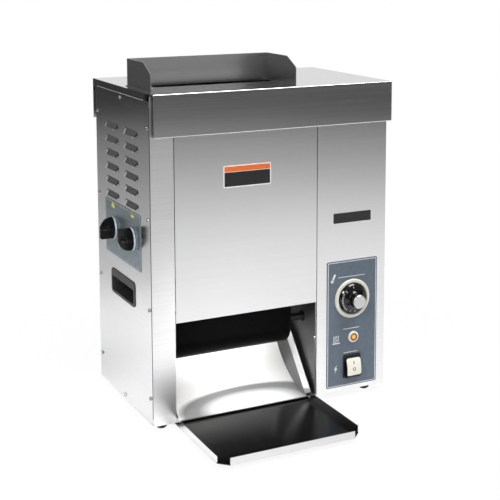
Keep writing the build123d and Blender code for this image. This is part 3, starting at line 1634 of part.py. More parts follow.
spindle_bushes.part.label = "spindle_bushes"
export_step(spindle_bushes.part, "parts/spindle_bushes.step")
scale_plate.part.label = "scale_plate"
export_step(scale_plate.part, "parts/scale_plate.step")
control_plate.part.label = "control_plate"
export_step(control_plate.part, "parts/control_plate.step")
thermostat_bezel.part.label = "thermostat_bezel"
export_step(thermostat_bezel.part, "parts/thermostat_bezel.step")
thermostat_body.part.label = "thermostat_body"
export_step(thermostat_body.part, "parts/thermostat_body.step")
thermostat_knob.part.label = "thermostat_knob"
export_step(thermostat_knob.part, "parts/thermostat_knob.step")
thermostat_cap.part.label = "thermostat_cap"
export_step(thermostat_cap.part, "parts/thermostat_cap.step")
lamp_bezel.part.label = "lamp_bezel"
export_step(lamp_bezel.part, "parts/lamp_bezel.step")
lamp_lens.part.label = "lamp_lens"
export_step(lamp_lens.part, "parts/lamp_lens.step")
switch_housing.part.label = "switch_housing"
export_step(switch_housing.part, "parts/switch_housing.step")
power_rocker.part.label = "power_rocker"
export_step(power_rocker.part, "parts/power_rocker.step")
terminal_block.part.label = "terminal_block"
export_step(terminal_block.part, "parts/terminal_block.step")
cord_gland.part.label = "cord_gland"
export_step(cord_gland.part, "parts/cord_gland.step")
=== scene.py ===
# %% [markdown]
# # A conveyor toaster for buns
#
# The machine is a folded stainless cabinet. Buns go in through a feed hopper on the lid, ride down
# between a black belt and a heated platen, and slide out onto a tray. The solids of every piece
# come from the CAD model. This lesson gives them their finishes and adds what is printed or stuck
# on: the knobs' bands and pointers, the dial's figures, the marks on the switch, the lines and
# signs on the two control plates, and the bare plates where a maker's name would be.

# %% Load the machine
import math

import bmesh
import bpy
from mathutils import Matrix, Vector


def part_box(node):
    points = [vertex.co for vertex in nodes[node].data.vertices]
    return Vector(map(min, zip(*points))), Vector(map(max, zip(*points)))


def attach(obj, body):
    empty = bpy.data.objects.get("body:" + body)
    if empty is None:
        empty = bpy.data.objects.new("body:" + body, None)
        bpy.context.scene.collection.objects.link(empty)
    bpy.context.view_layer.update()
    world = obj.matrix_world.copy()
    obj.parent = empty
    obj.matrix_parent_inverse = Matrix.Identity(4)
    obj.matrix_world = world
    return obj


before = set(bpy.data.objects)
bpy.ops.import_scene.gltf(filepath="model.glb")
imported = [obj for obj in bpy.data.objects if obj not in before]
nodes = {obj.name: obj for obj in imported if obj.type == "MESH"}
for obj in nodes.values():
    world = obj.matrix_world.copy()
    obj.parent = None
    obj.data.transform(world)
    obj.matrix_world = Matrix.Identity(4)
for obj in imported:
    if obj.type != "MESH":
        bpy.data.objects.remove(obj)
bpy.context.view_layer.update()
print("pieces from the CAD model:", len(nodes))

# %% [markdown]
# ## Measuring from the cabinet
#
# A sheet-metal worker measures from the cabinet's own edges: across from its left face, back from
# its front face, and up from the bottom edge of its panels, in millimetres. `at` turns such a
# measure into a place in the scene, and the three edges are read from the CAD pieces, so every
# added piece moves along if the cabinet changes.

# %% A place on the cabinet
MM = 0.001
LEFT_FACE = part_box("left_front_column")[0].x
FRONT_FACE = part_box("front_panel")[0].y
BOTTOM_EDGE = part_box("base_pan")[0].z


def at(across, back, up):
    """Place in the scene of a measure on the cabinet, in millimetres."""
    return Vector((LEFT_FACE + across * MM, FRONT_FACE + back * MM, BOTTOM_EDGE + up * MM))


print("cabinet's lower left front corner:", [round(v, 4) for v in at(0, 0, 0)])

# %% [markdown]
# ## Camera
#
# The camera stands left of the machine and a little above it, close enough for the side to narrow
# towards the back. Its lens is long. The view is framed by shifting the lens rather than by
# tilting the camera further, which keeps upright edges nearly upright. The tiny roll is kept
# because a tripod is never quite level.

# %% Set up the camera
CAMERA_PLACE = at(-615.1, -1621.6, 742.2)
CAMERA_TURN = -26.34
CAMERA_DROP = 7.58
CAMERA_ROLL = -0.104
LENS = 81.83
SENSOR_WIDTH = 36.0
SHIFT_ACROSS = -0.0179
SHIFT_UP = -0.2844
SIGHT_END = 50.0
FRONT_MIDDLE = at(215, 0, 266)

camera_data = bpy.data.cameras.new("studio_camera")
camera_data.lens = LENS
camera_data.sensor_width = SENSOR_WIDTH
camera_data.shift_x = SHIFT_ACROSS
camera_data.shift_y = SHIFT_UP
camera_data.clip_end = SIGHT_END
camera = bpy.data.objects.new("studio_camera", camera_data)
bpy.context.scene.collection.objects.link(camera)
turn = Matrix.Rotation(math.radians(CAMERA_TURN), 4, "Z")
drop = Matrix.Rotation(math.radians(90.0 - CAMERA_DROP), 4, "X")
roll = Matrix.Rotation(math.radians(CAMERA_ROLL), 4, "Z")
camera.matrix_world = Matrix.Translation(CAMERA_PLACE) @ turn @ drop @ roll
bpy.context.scene.camera = camera
bpy.context.scene.view_settings.view_transform = "Standard"
print("camera stands", round((CAMERA_PLACE - FRONT_MIDDLE).length, 3), "m from the front")

# %% [markdown]
# ## Objects and nodes
#
# Floor, lamps and signs all need an object in the scene, and every finish is a handful of nodes
# joined by links. Nodes could be placed one by one, as in the editor. A few helpers with short
# names say the same in one line each, and keep the later cells readable. An input takes either
# another node's output, which becomes a link, or a plain number.

# %% Helpers for objects and nodes
GIVES_NUMBER = ("LENGTH", "DISTANCE", "DOT_PRODUCT")


def linked(name, data):
    """New object for the data, in the scene."""
    thing = bpy.data.objects.new(name, data)
    bpy.context.scene.collection.objects.link(thing)
    return thing


def add_node(tree, kind, inputs=(), **settings):
    """Node of a kind with its settings and its inputs, pairs of a socket and what goes in."""
    node = tree.nodes.new("ShaderNode" + kind)
    for name, value in settings.items():
        setattr(node, name, value)
    for socket, value in inputs:
        if isinstance(value, bpy.types.NodeSocket):
            tree.links.new(value, node.inputs[socket])
        else:
            node.inputs[socket].default_value = value
    return node


def maths(tree, operation, first, second):
    """Result of a sum on two numbers."""
    return add_node(tree, "Math", ((0, first), (1, second)), operation=operation).outputs[0]


def vector_maths(tree, operation, *vectors):
    """Result of a sum on one or two vectors."""
    node = add_node(tree, "VectorMath", enumerate(vectors), operation=operation)
    return node.outputs["Value" if operation in GIVES_NUMBER else "Vector"]


def rise(tree, value, start, full, low=0.0, high=1.0, curve="LINEAR"):
    """Number that goes from low to high while the value goes from start to full."""
    inputs = (("Value", value), ("From Min", start), ("From Max", full), ("To Min", low),
              ("To Max", high))
    return add_node(tree, "MapRange", inputs, interpolation_type=curve).outputs[0]


def ramp(tree, share, stops):
    """Colour that runs through the stops, pairs of a position and a colour, along the share."""
    node = add_node(tree, "ValToRGB", (("Fac", share),))
    points = node.color_ramp.elements
    for point, (position, colour) in zip(points, (stops[0], stops[-1])):
        point.position = position
        point.color = (*colour, 1.0)
    for position, colour in stops[1:-1]:
        points.new(position).color = (*colour, 1.0)
    return node.outputs["Color"]


print("helpers: linked, add_node, maths, vector_maths, rise, ramp")

# %% [markdown]
# ## Floor
#
# Polished steel has hardly any colour of its own: it shows the room. So the room is what makes
# this machine look right. The floor is bright round the feet and falls off with distance, because
# the main lamp hangs over the machine. Low on the sheet the steel mirrors the bright floor, and
# high up it mirrors the far, dim one, which gives the smooth fall from white to grey. A ramp over
# the distance from the middle paints that fall. Behind the machine the floor sweeps up into a lit
# backdrop, so it glows far out in that one direction.
#
# The eye should see plain white paper round the machine. A light path node tells the camera's own
# rays from the reflected ones: the camera gets paper, the steel gets the room. Near the feet the
# paper's share is a little lower, so that a hint of their shadow stays.

# %% Lay the floor
FLOOR_REACH = 6.0
FLOOR_TONES = ((0.0, 0.95), (0.2, 0.9), (0.37, 0.68), (0.5, 0.54), (0.56, 0.38), (0.62, 0.14),
               (0.68, 0.05), (1.0, 0.04))
FLOOR_ROUGHNESS = 0.9
PAPER_FROM = 0.35
PAPER_TO = 0.9
PAPER_SHARE = 0.93
BACKDROP_WAY = (0.444, 0.896, 0.0)
# A glow: the cosine at which it starts, the cosine at which it is full, and its strength.
BACKDROP = (0.80, 0.95, 0.8)

floor_paint = bpy.data.materials.new("pale_floor")
floor_paint.use_nodes = True
tree = floor_paint.node_tree
shader = tree.nodes["Principled BSDF"]
shader.inputs["Roughness"].default_value = FLOOR_ROUGHNESS
place = add_node(tree, "TexCoord").outputs["Object"]
reach = vector_maths(tree, "LENGTH", place)
tones = [(position, (tone, tone, tone)) for position, tone in FLOOR_TONES]
pale = ramp(tree, maths(tree, "DIVIDE", reach, FLOOR_REACH), tones)
tree.links.new(pale, shader.inputs["Base Color"])

paper_share = rise(tree, reach, PAPER_FROM, PAPER_TO, PAPER_SHARE, 1.0, "SMOOTHSTEP")
toward = vector_maths(tree, "DOT_PRODUCT", vector_maths(tree, "NORMALIZE", place), BACKDROP_WAY)
sweep = rise(tree, toward, BACKDROP[0], BACKDROP[1], curve="SMOOTHSTEP")
sweep_glow = add_node(tree, "Emission", (("Strength", BACKDROP[2]),)).outputs[0]
sweep_share = maths(tree, "MULTIPLY", sweep, paper_share)
swept = add_node(tree, "MixShader", ((0, sweep_share), (1, shader.outputs[0]), (2, sweep_glow)))
from_camera = add_node(tree, "LightPath").outputs["Is Camera Ray"]
seen_share = maths(tree, "MULTIPLY", paper_share, from_camera)
paper = add_node(tree, "Emission").outputs[0]
blend = add_node(tree, "MixShader", ((0, seen_share), (1, swept.outputs[0]), (2, paper)))
tree.links.new(blend.outputs[0], tree.nodes["Material Output"].inputs["Surface"])

floor_shape = bmesh.new()
bmesh.ops.create_circle(floor_shape, cap_ends=True, segments=96, radius=FLOOR_REACH)
floor_mesh = bpy.data.meshes.new("floor")
floor_shape.to_mesh(floor_mesh)
floor_shape.free()
floor = linked("floor", floor_mesh)
floor.data.materials.append(floor_paint)
print("floor reaches", FLOOR_REACH, "m")

# %% [markdown]
# ## Room
#
# The room is a dark studio with four soft glows: the ceiling, the backdrop, the wall behind the
# camera and a wall on the left. Each could be a large lamp or a picture of a sky. Here it is a
# number worked out from the direction: the closer a direction lies to the glow's own way, the
# brighter it is, and where two glows meet, the brighter one wins. That is smooth all over, and a
# glow is moved by changing its way.

# %% Light the room
ROOM_DARK = 0.04
CEILING_WAY = (0.0, 0.0, 1.0)
CEILING = (0.42, 0.78, 0.4)
FAR_WALL_WAY = (0.444, -0.896, 0.0)
FAR_WALL = (0.6, 0.9, 0.28)
LEFT_WALL_WAY = (-0.414, 0.89, 0.2)
LEFT_WALL = (0.85, 0.98, 0.1)
GLOWS = ((CEILING_WAY, CEILING), (BACKDROP_WAY, BACKDROP), (FAR_WALL_WAY, FAR_WALL),
         (LEFT_WALL_WAY, LEFT_WALL))
WHITE = (1.0, 1.0, 1.0, 1.0)

world = bpy.data.worlds.new("studio")
bpy.context.scene.world = world
world.use_nodes = True
room = world.node_tree
room.nodes.clear()
way = add_node(room, "TexCoord").outputs["Generated"]
level = ROOM_DARK
for glow_way, (start, full, strength) in GLOWS:
    along = vector_maths(room, "DOT_PRODUCT", way, glow_way)
    glow = rise(room, along, start, full, 0.0, strength, "SMOOTHSTEP")
    level = maths(room, "MAXIMUM", glow, level)
room_light = add_node(room, "Background", (("Color", WHITE), ("Strength", level))).outputs[0]
paper_wall = add_node(room, "Background", (("Color", WHITE),)).outputs[0]
from_camera = add_node(room, "LightPath").outputs["Is Camera Ray"]
choice = add_node(room, "MixShader", ((0, from_camera), (1, room_light), (2, paper_wall)))
add_node(room, "OutputWorld", (("Surface", choice.outputs[0]),))
print("glows in the room:", len(GLOWS))

# %% [markdown]
# ## Lamps
#
# One large soft box hangs over the right front and does most of the work. A narrow beam reaches
# into the exit, which would stay black without it. Two small boxes brighten the floor on the left
# and behind, because that is what the left side panel mirrors. A box light gives softer shadows
# than a point or a sun, and its spread keeps the light where it is wanted.

# %% Hang the lamps
MACHINE_MIDDLE = at(215, 120, 260)
EXIT_MOUTH = at(150, 70, 125)
FLOOR_LEFT = Vector((-0.35, -0.05, 0.0))
FLOOR_BEHIND = Vector((-0.5, 0.35, 0.0))


def soft_lamp(name, place, aim, size, watts, spread=180.0):
    """Square soft box that looks from its place at the aim; a small spread makes a narrow beam."""
    data = bpy.data.lights.new(name, "AREA")
    data.size = size
    data.energy = watts
    data.spread = math.radians(spread)
    turned = (aim - place).to_track_quat("-Z", "Y").to_matrix().to_4x4()
    linked(name, data).matrix_world = Matrix.Translation(place) @ turned


soft_lamp("lamp_above", Vector((0.8, -0.8, 2.4)), MACHINE_MIDDLE, size=1.2, watts=56.0)
soft_lamp("lamp_mouth", Vector((-0.3, -1.8, 0.42)), EXIT_MOUTH, size=0.16, watts=0.4, spread=9.0)
soft_lamp("lamp_left", Vector((-1.2, -0.8, 1.1)), FLOOR_LEFT, size=0.4, watts=2.2, spread=50.0)
soft_lamp("lamp_behind", Vector((-0.95, 0.3, 0.9)), FLOOR_BEHIND, size=0.3, watts=0.6, spread=50.0)

# %% [markdown]
# ## Finishes
#
# No real surface is one even colour. Kitchen sheet is ground along one direction with a belt, and
# its scratches, too fine to see one by one, blur reflections and make faint streaks. Moulded and
# painted pieces have a fine mottle instead. One noise pattern does both: stretched along the grain
# for sheet, even in all directions for the rest. It moves the colour and the roughness a little
# and tilts the surface by a hair.

# %% A maker of finishes
ACROSS, BACK, UP = 0, 1, 2
METAL = 1.0
# The pattern's repeats per metre: along the grain, across it, and in a mottle.
ALONG_GRAIN = 4.0
ACROSS_GRAIN = 700.0
MOTTLE = 350.0
BUMP_HEIGHT = 0.0001
ROUGHNESS_SPREAD = 0.03
PALE_FROM = 0.3
PALE_TO = 0.7


def finish(name, colour, roughness, metallic=0.0, grain=None, repeats=MOTTLE, tint=0.03,
           tilt=0.03, shine=0.5):
    """Finish with a fine pattern; grain is the axis that the scratches follow."""
    material = bpy.data.materials.new(name)
    material.use_nodes = True
    tree = material.node_tree
    shader = tree.nodes["Principled BSDF"]
    shader.inputs["Metallic"].default_value = metallic
    shader.inputs["Specular IOR Level"].default_value = shine
    stretch = [repeats] * 3
    if grain is not None:
        stretch = [ALONG_GRAIN if axis == grain else ACROSS_GRAIN for axis in range(3)]
    place = add_node(tree, "TexCoord").outputs["Object"]
    scaled = add_node(tree, "Mapping", (("Vector", place), ("Scale", stretch))).outputs[0]
    noise = add_node(tree, "TexNoise", (("Vector", scaled), ("Scale", 1.0), ("Detail", 2.0)))
    pattern = noise.outputs["Fac"]
    darker = [min(part * (1.0 - tint), 1.0) for part in colour]
    lighter = [min(part * (1.0 + tint), 1.0) for part in colour]
    shade = ramp(tree, pattern, ((PALE_FROM, darker), (PALE_TO, lighter)))
    gloss = rise(tree, pattern, 0.0, 1.0, roughness - ROUGHNESS_SPREAD,
                 roughness + ROUGHNESS_SPREAD)
    relief = add_node(tree, "Bump", (("Height", pattern), ("Strength", tilt),
                                     ("Distance", BUMP_HEIGHT))).outputs[0]
    tree.links.new(shade, shader.inputs["Base Color"])
    tree.links.new(gloss, shader.inputs["Roughness"])
    tree.links.new(relief, shader.inputs["Normal"])
    return material


def dress(material, *names):
    """Gives CAD pieces their material."""
    for name in names:
        for slot in nodes[name].material_slots:
            slot.material = material


print("scratches are", round(ACROSS_GRAIN / ALONG_GRAIN), "times as long as they are wide")

# %% [markdown]
# ## Sheet steel
#
# The front and the lid are ground sideways, the sides from front to back, and the chamber's walls
# upwards. The hopper is bright rolled sheet with hardly any grain. Inside, the steel is darker and
# the shield next to the platen black: painted shade of the dim inside. Darker steel is a darker
# metal with a higher roughness, and nothing else about it changes.

# %% Dress the sheet pieces
SHEETS = (
    ("front_steel", (0.78, 0.78, 0.785), 0.2, ACROSS, ("control_column", "front_panel")),
    ("column_steel", (0.78, 0.78, 0.785), 0.32, ACROSS, ("left_front_column",)),
    ("side_steel", (0.76, 0.76, 0.765), 0.17, BACK, ("left_side_panel", "right_side_panel")),
    ("back_steel", (0.66, 0.66, 0.665), 0.32, ACROSS, ("back_panel",)),
    ("lid_steel", (0.78, 0.78, 0.78), 0.14, ACROSS, ("top_lid",)),
    # The inner, chamber and shield rows are darkened as painted shade of the dim inside.
    ("inner_steel", (0.4, 0.4, 0.4), 0.38, ACROSS, ("base_pan", "top_frame", "tray_runners")),
    ("chamber_steel", (0.3, 0.3, 0.3), 0.4, UP, ("chamber_wall_left", "chamber_wall_right")),
    ("shaded_shield_steel", (0.05, 0.05, 0.05), 0.5, ACROSS, ("heat_shield",)),
)
for name, colour, roughness, grain, pieces in SHEETS:
    dress(finish(name, colour, roughness, METAL, grain), *pieces)
dress(finish("rolled_sheet", (0.66, 0.66, 0.67), 0.26, METAL, ACROSS, tilt=0.01), "feed_hopper")
print("sheet finishes:", len(SHEETS) + 1)

# %% [markdown]
# ## Works
#
# The works are bought, turned or cast: bronze bushes, a copper bulb, alloy rollers, a drive and
# a heating element. The drive is black as painted shade, deep in the dim inside, and the element
# is dark steel. All are metals, which colour the light that they mirror, so each finish is full
# metal, and only its colour and its roughness tell it from the others. None is ground along one
# direction, so they get the even mottle.

# %% Dress the works
WORKS = (
    ("works_steel", (0.3, 0.3, 0.305), 0.42,
     ("belt_frame_left", "belt_frame_right", "motor_bracket", "platen_carrier")),
    ("bar_steel", (0.3, 0.3, 0.3), 0.35,
     ("belt_tie_bars", "platen_pivot_pins", "heel_spindle", "crown_spindle")),
    # The drive parts are black as painted shade; the heating element is dark steel.
    ("dark_and_shaded_steel", (0.05, 0.05, 0.05), 0.4,
     ("drive_shaft", "drive_bearings", "drive_gear", "motor_pinion", "heating_element")),
    ("screw_steel", (0.3, 0.3, 0.3), 0.35, ("panel_screws",)),
    ("turned_alloy", (0.62, 0.62, 0.62), 0.34, ("drive_roller", "top_roller", "belt_slider")),
    ("platen_alloy", (0.6, 0.6, 0.58), 0.42, ("platen",)),
    ("bronze", (0.62, 0.43, 0.2), 0.35, ("spindle_bushes",)),
    ("copper", (0.7, 0.38, 0.22), 0.3, ("thermostat_bulb",)),
)
for name, colour, roughness, pieces in WORKS:
    dress(finish(name, colour, roughness, METAL), *pieces)
print("metal finishes of the works:", len(WORKS))

# %% [markdown]
# ## Mouldings, cloth and paint
#
# Apart from the dial's silver cap, none of these is metal, so each is its colour under a clear
# gloss. The deep blacks differ in how rough they are: the knobs shine, the thermostat's body is
# matt, the feet are rubber, and the belt's coated cloth gives back almost no light. A strong
# mottle suits a black, because a few percent of almost nothing would not show. The ring round the
# dial and the terminal block are cream.

# %% Dress the mouldings
FEET = ("foot_front_left", "foot_front_right", "foot_rear_left", "foot_rear_right")
KNOBS = ("heel_knob", "crown_knob", "thermostat_knob")
dress(finish("motor_paint", (0.03, 0.03, 0.035), 0.4, tint=0.2), "gearmotor")
dress(finish("belt_cloth", (0.001, 0.001, 0.001), 0.3, tint=0.3, shine=0.02), "conveyor_belt")
dress(finish("cup_grey", (0.02, 0.02, 0.021), 0.4, tint=0.25, tilt=0.2, shine=0.3),
      "left_handle_cup", "right_handle_cup")
dress(finish("foot_rubber", (0.012, 0.012, 0.012), 0.65, tint=0.3), *FEET)
dress(finish("knob_black", (0.004, 0.004, 0.004), 0.12, tint=0.3), *KNOBS)
dress(finish("switch_black", (0.006, 0.006, 0.006), 0.14, tint=0.3), "switch_housing")
dress(finish("body_black", (0.02, 0.02, 0.02), 0.5, tint=0.2), "thermostat_body", "cord_gland")
dress(finish("terminal_cream", (0.78, 0.75, 0.66), 0.5), "terminal_block")
dress(finish("ring_cream", (0.72, 0.71, 0.63), 0.4), "thermostat_bezel")
dress(finish("cap_silver", (0.6, 0.6, 0.61), 0.3, METAL, ACROSS), "thermostat_cap")
print("feet and knobs:", len(FEET) + len(KNOBS))

# %% [markdown]
# ## Two tones on one piece
#
# Some pieces have more than one tone, though each is a single solid: a tray with a dark floor and
# bright rims, a lamp that glows in its middle. Painting the faces one by one would change the CAD
# mesh. A rule leaves it alone: it works out a number from where a point lies or which way the
# surface faces, and a ramp turns the number into a colour. The pattern still drives the roughness.

# %% Helpers for rules
SQUARELY_FROM = 0.8
SQUARELY_TO = 0.9


def by_rule(material, rule, stops):
    """Colours a finish by a rule from 0 to 1, through a ramp of stops."""
    colour = ramp(material.node_tree, rule, stops)
    shader = material.node_tree.nodes["Principled BSDF"]
    material.node_tree.links.new(colour, shader.inputs["Base Color"])
    return colour


def object_place(tree):
    """Where the point lies on the piece."""
    return add_node(tree, "TexCoord").outputs["Object"]


def facing(tree):
    """Which way the piece's own surface faces."""
    return add_node(tree, "TexCoord").outputs["Normal"]


def parts_of(tree, vector):
    """The three numbers of a vector."""
    return add_node(tree, "SeparateXYZ", ((0, vector),)).outputs


def faces_along(tree, *axes):
    """1 where the surface faces squarely along one of the axes, to either side, else 0."""
    turned = parts_of(tree, vector_maths(tree, "ABSOLUTE", facing(tree)))
    most = turned[axes[0]]
    for axis in axes[1:]:
        most = maths(tree, "MAXIMUM", most, turned[axis])
    return rise(tree, most, SQUARELY_FROM, SQUARELY_TO)


print("a face counts as square within", round(math.degrees(math.acos(SQUARELY_TO))), "degrees")

# %% [markdown]
# ## Tray
#
# The floor of the tray is coloured dark, while its folded rims stay bright. The rule says bright
# above the floor's skin, and bright too where the surface faces sideways, so the rims keep their
# tone down to their lower edge.

# %% Darken the tray's floor
TRAY_SKIN = 3.0 * MM
TRAY_BLEND = 1.0 * MM
TRAY_DARK = (0.07, 0.07, 0.07)
TRAY_BRIGHT = (0.58, 0.58, 0.58)

tray_steel = finish("tray_steel", (0.7, 0.7, 0.7), 0.2, METAL, ACROSS)
dress(tray_steel, "tray")
tree = tray_steel.node_tree
skin_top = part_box("tray")[0].z + TRAY_SKIN
height = parts_of(tree, object_place(tree))["Z"]
above = rise(tree, height, skin_top, skin_top + TRAY_BLEND)
bright = maths(tree, "MAXIMUM", above, faces_along(tree, ACROSS, BACK))
by_rule(tray_steel, bright, ((0.0, TRAY_DARK), (1.0, TRAY_BRIGHT)))
print("tray's dark skin, mm:", round(TRAY_SKIN / MM, 1))

# %% [markdown]
# ## Slide
#
# Buns grind the slide white as they pass, so most of the light that falls on it scatters: it gets
# no metal at all. A grey band that runs across it in an arc is a painted reflection, and the
# cheeks at its sides get the same grey as painted shade. The arc is part of an ellipse: the
# distance from its middle is counted in half widths and half heights, which makes it the same all
# along the band. Half of that distance keeps the painted grey inside the ramp's 0 to 1. A cheek
# takes the ramp's colour from one fixed position instead.

# %% Paint the slide's reflection and shade
SLIDE_WHITE = (0.85, 0.85, 0.84)
# The grey is a painted reflection on the arc and painted shade on the cheeks.
SLIDE_PAINTED_GREY = (0.22, 0.22, 0.22)
ARC_MIDDLE_SHARE = 0.56
ARC_WIDTH_SHARE = 0.54
ARC_HEIGHT_SHARE = 0.125
PAINTED_GREY_STOPS = ((0.24, SLIDE_WHITE), (0.38, SLIDE_PAINTED_GREY), (0.47, SLIDE_PAINTED_GREY), (0.53, SLIDE_WHITE))
CHEEK_SHADE_SHARE = 0.43

slide_steel = finish("slide_steel", SLIDE_WHITE, 0.45, grain=ACROSS)
dress(slide_steel, "discharge_slide")
tree = slide_steel.node_tree
slide_low, slide_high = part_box("discharge_slide")
slide_size = slide_high - slide_low
arc_middle = Vector((slide_low.x + ARC_MIDDLE_SHARE * slide_size.x, 0.0, slide_low.z))
shrink = (1 / (ARC_WIDTH_SHARE * slide_size.x), 0.0, 1 / (ARC_HEIGHT_SHARE * slide_size.z))
from_middle = vector_maths(tree, "SUBTRACT", object_place(tree), arc_middle)
arc = vector_maths(tree, "LENGTH", vector_maths(tree, "MULTIPLY", from_middle, shrink))
half_arc = maths(tree, "MULTIPLY", arc, 0.5)
# Cheeks take the painted shade; elsewhere the arc places the painted reflection.
inputs = ((0, faces_along(tree, ACROSS)), (2, half_arc), (3, CHEEK_SHADE_SHARE))
painted_grey_share = add_node(tree, "Mix", inputs).outputs[0]
by_rule(slide_steel, painted_grey_share, PAINTED_GREY_STOPS)
print("slide, mm:", [round(v / MM, 1) for v in slide_size])

# %% [markdown]
# ## Pilot lamp
#
# The lamp's lens glows amber in its middle and darkens to brown at the rim, and the brown goes on
# a little way into its cream ring: painted shade of the recess that the lens sits in. The lens is
# nearly flat, so its colour can follow the distance from its middle point. The ring is deep, so
# there the distance is taken from the lamp's axis, with the front-to-back part left out.

# %% Tint the lamp
LENS_RADIUS = 0.006
# The brown at the lens's rim is painted shade of its recess.
LENS_GLOW_AND_SHADE_STOPS = ((0.0, (0.95, 0.6, 0.16)), (0.45, (0.85, 0.42, 0.06)), (0.8, (0.3, 0.1, 0.02)))
LENS_GLOW = 0.25
RING_RADIUS = 0.01
RING_CREAM = (0.85, 0.83, 0.76)
# The brown inside the ring is painted shade of the lens's recess.
RING_SHADE_STOPS = ((0.66, (0.3, 0.12, 0.03)), (0.74, RING_CREAM))
NOT_BACK = (1.0, 0.0, 1.0)


def middle_of(name):
    """Middle of a CAD piece's box."""
    low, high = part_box(name)
    return (low + high) / 2


lens = finish("lens_amber", (0.8, 0.4, 0.05), 0.12)
tree = lens.node_tree
outward = vector_maths(tree, "DISTANCE", object_place(tree), middle_of("lamp_lens"))
amber = by_rule(lens, rise(tree, outward, 0.0, LENS_RADIUS), LENS_GLOW_AND_SHADE_STOPS)
shader = tree.nodes["Principled BSDF"]
tree.links.new(amber, shader.inputs["Emission Color"])
shader.inputs["Emission Strength"].default_value = LENS_GLOW
dress(lens, "lamp_lens")

bezel = finish("lamp_ring", RING_CREAM, 0.35)
tree = bezel.node_tree
from_middle = vector_maths(tree, "SUBTRACT", object_place(tree), middle_of("lamp_bezel"))
outward = vector_maths(tree, "LENGTH", vector_maths(tree, "MULTIPLY", from_middle, NOT_BACK))
by_rule(bezel, rise(tree, outward, 0.0, RING_RADIUS), RING_SHADE_STOPS)
dress(bezel, "lamp_bezel")
print("lamp's middle:", [round(v, 4) for v in middle_of("lamp_lens")])

# %% [markdown]
# ## Rocker
#
# The rocker is cream on its pressed face and black on its sides, like a cap set in a rubber boot.
# The cap is a rectangle with round corners: a point is on it when it is less than the corner's
# radius away from a smaller rectangle inside. That, times how far the surface faces forwards,
# picks the cream. Both are read from the piece itself, so the colours stay put when it tips.

# %% Tint the rocker
CAP_CREAM = (0.8, 0.78, 0.68)
BOOT_BLACK = (0.01, 0.01, 0.01)
CAP_STOPS = ((0.62, BOOT_BLACK), (0.78, CAP_CREAM))
CAP_CORNER = 0.004
CAP_INSET_SIDE = 0.0055
CAP_INSET_END = 0.0075

rocker = finish("rocker_cap", CAP_CREAM, 0.2)
tree = rocker.node_tree
rocker_low, rocker_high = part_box("power_rocker")
rocker_half = (rocker_high - rocker_low) / 2
inner_half = (rocker_half.x - CAP_INSET_SIDE, 1.0, rocker_half.z - CAP_INSET_END)
from_middle = vector_maths(tree, "SUBTRACT", object_place(tree), middle_of("power_rocker"))
aside = vector_maths(tree, "ABSOLUTE", from_middle)
past = vector_maths(tree, "SUBTRACT", aside, inner_half)
past_only = vector_maths(tree, "MAXIMUM", past, (0.0, 0.0, 0.0))
corner = vector_maths(tree, "LENGTH", past_only)
inside = maths(tree, "LESS_THAN", corner, CAP_CORNER)
frontness = maths(tree, "MULTIPLY", parts_of(tree, facing(tree))["Y"], -1.0)
by_rule(rocker, maths(tree, "MULTIPLY", inside, frontness), CAP_STOPS)
dress(rocker, "power_rocker")
dressed = [piece for piece in nodes.values()
           if piece.material_slots and piece.material_slots[0].material]
print("pieces dressed:", len(dressed))

# %% [markdown]
# ## Flat pieces in millimetres
#
# Signs, stickers and bands are easiest to draw flat on a table, in millimetres, and then to stand
# up against the cabinet. One matrix turns a drawing to face the front, another to face the left.
# `settle` does this to the mesh itself, so the finished object stays at the origin like a CAD
# piece, and lets it ride on a body. `thicken` raises a copy of the flat shape and walls it in.

# %% Helpers for flat pieces
PRINT_THICK = 0.12
CORNER_STEPS = 4
FRONTWARDS = Matrix(((1, 0, 0, 0), (0, 0, -1, 0), (0, 1, 0, 0), (0, 0, 0, 1)))
LEFTWARDS = Matrix(((0, 0, -1, 0), (-1, 0, 0, 0), (0, 1, 0, 0), (0, 0, 0, 1)))


def settle(shape, name, turned, place, material, body="cabinet"):
    """Turns a shape drawn flat in millimetres, sets it in place and lets it ride on a body."""
    bmesh.ops.scale(shape, vec=(MM, MM, MM), verts=shape.verts)
    bmesh.ops.transform(shape, matrix=Matrix.Translation(place) @ turned, verts=shape.verts)
    bmesh.ops.recalc_face_normals(shape, faces=shape.faces)
    mesh = bpy.data.meshes.new(name)
    shape.to_mesh(mesh)
    shape.free()
    for polygon in mesh.polygons:
        polygon.use_smooth = False
    mesh.materials.append(material)
    piece = linked(name, mesh)
    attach(piece, body)


def raised_copy(shape):
    """Extrudes all faces in place, and gives the vertices of the copy."""
    grown = bmesh.ops.extrude_face_region(shape, geom=shape.faces[:], use_keep_orig=True)
    return [item for item in grown["geom"] if isinstance(item, bmesh.types.BMVert)]


def thicken(shape, thick):
    """Gives a flat shape its thickness."""
    bmesh.ops.translate(shape, vec=(0, 0, thick), verts=raised_copy(shape))


def rounded_face(width, height, corner):
    """Flat rectangle with round corners, drawn about its middle."""
    shape = bmesh.new()
    bmesh.ops.create_grid(shape, x_segments=1, y_segments=1, size=0.5)
    bmesh.ops.scale(shape, vec=(width, height, 1.0), verts=shape.verts)
    bmesh.ops.bevel(shape, geom=shape.verts[:], offset=corner, offset_type="OFFSET",
                    segments=CORNER_STEPS, profile=0.5, affect="VERTICES", material=-1)
    return shape


def rounded_slab(width, height, corner, thick):
    """Flat slab with round corners, its back at zero."""
    shape = rounded_face(width, height, corner)
    thicken(shape, thick)
    return shape


print("a print is", PRINT_THICK, "mm thick")

# %% [markdown]
# ## Control plates
#
# Both plates are thin sheet with a slate blue print, and the scale plate lets some metal shine
# through. A thin line runs round each, a little inside its edge. It could be four strokes. Here it
# is one rounded face, inset by the line's width, with the middle taken out and a hair of thickness
# given back, so the corners are round without any joint.

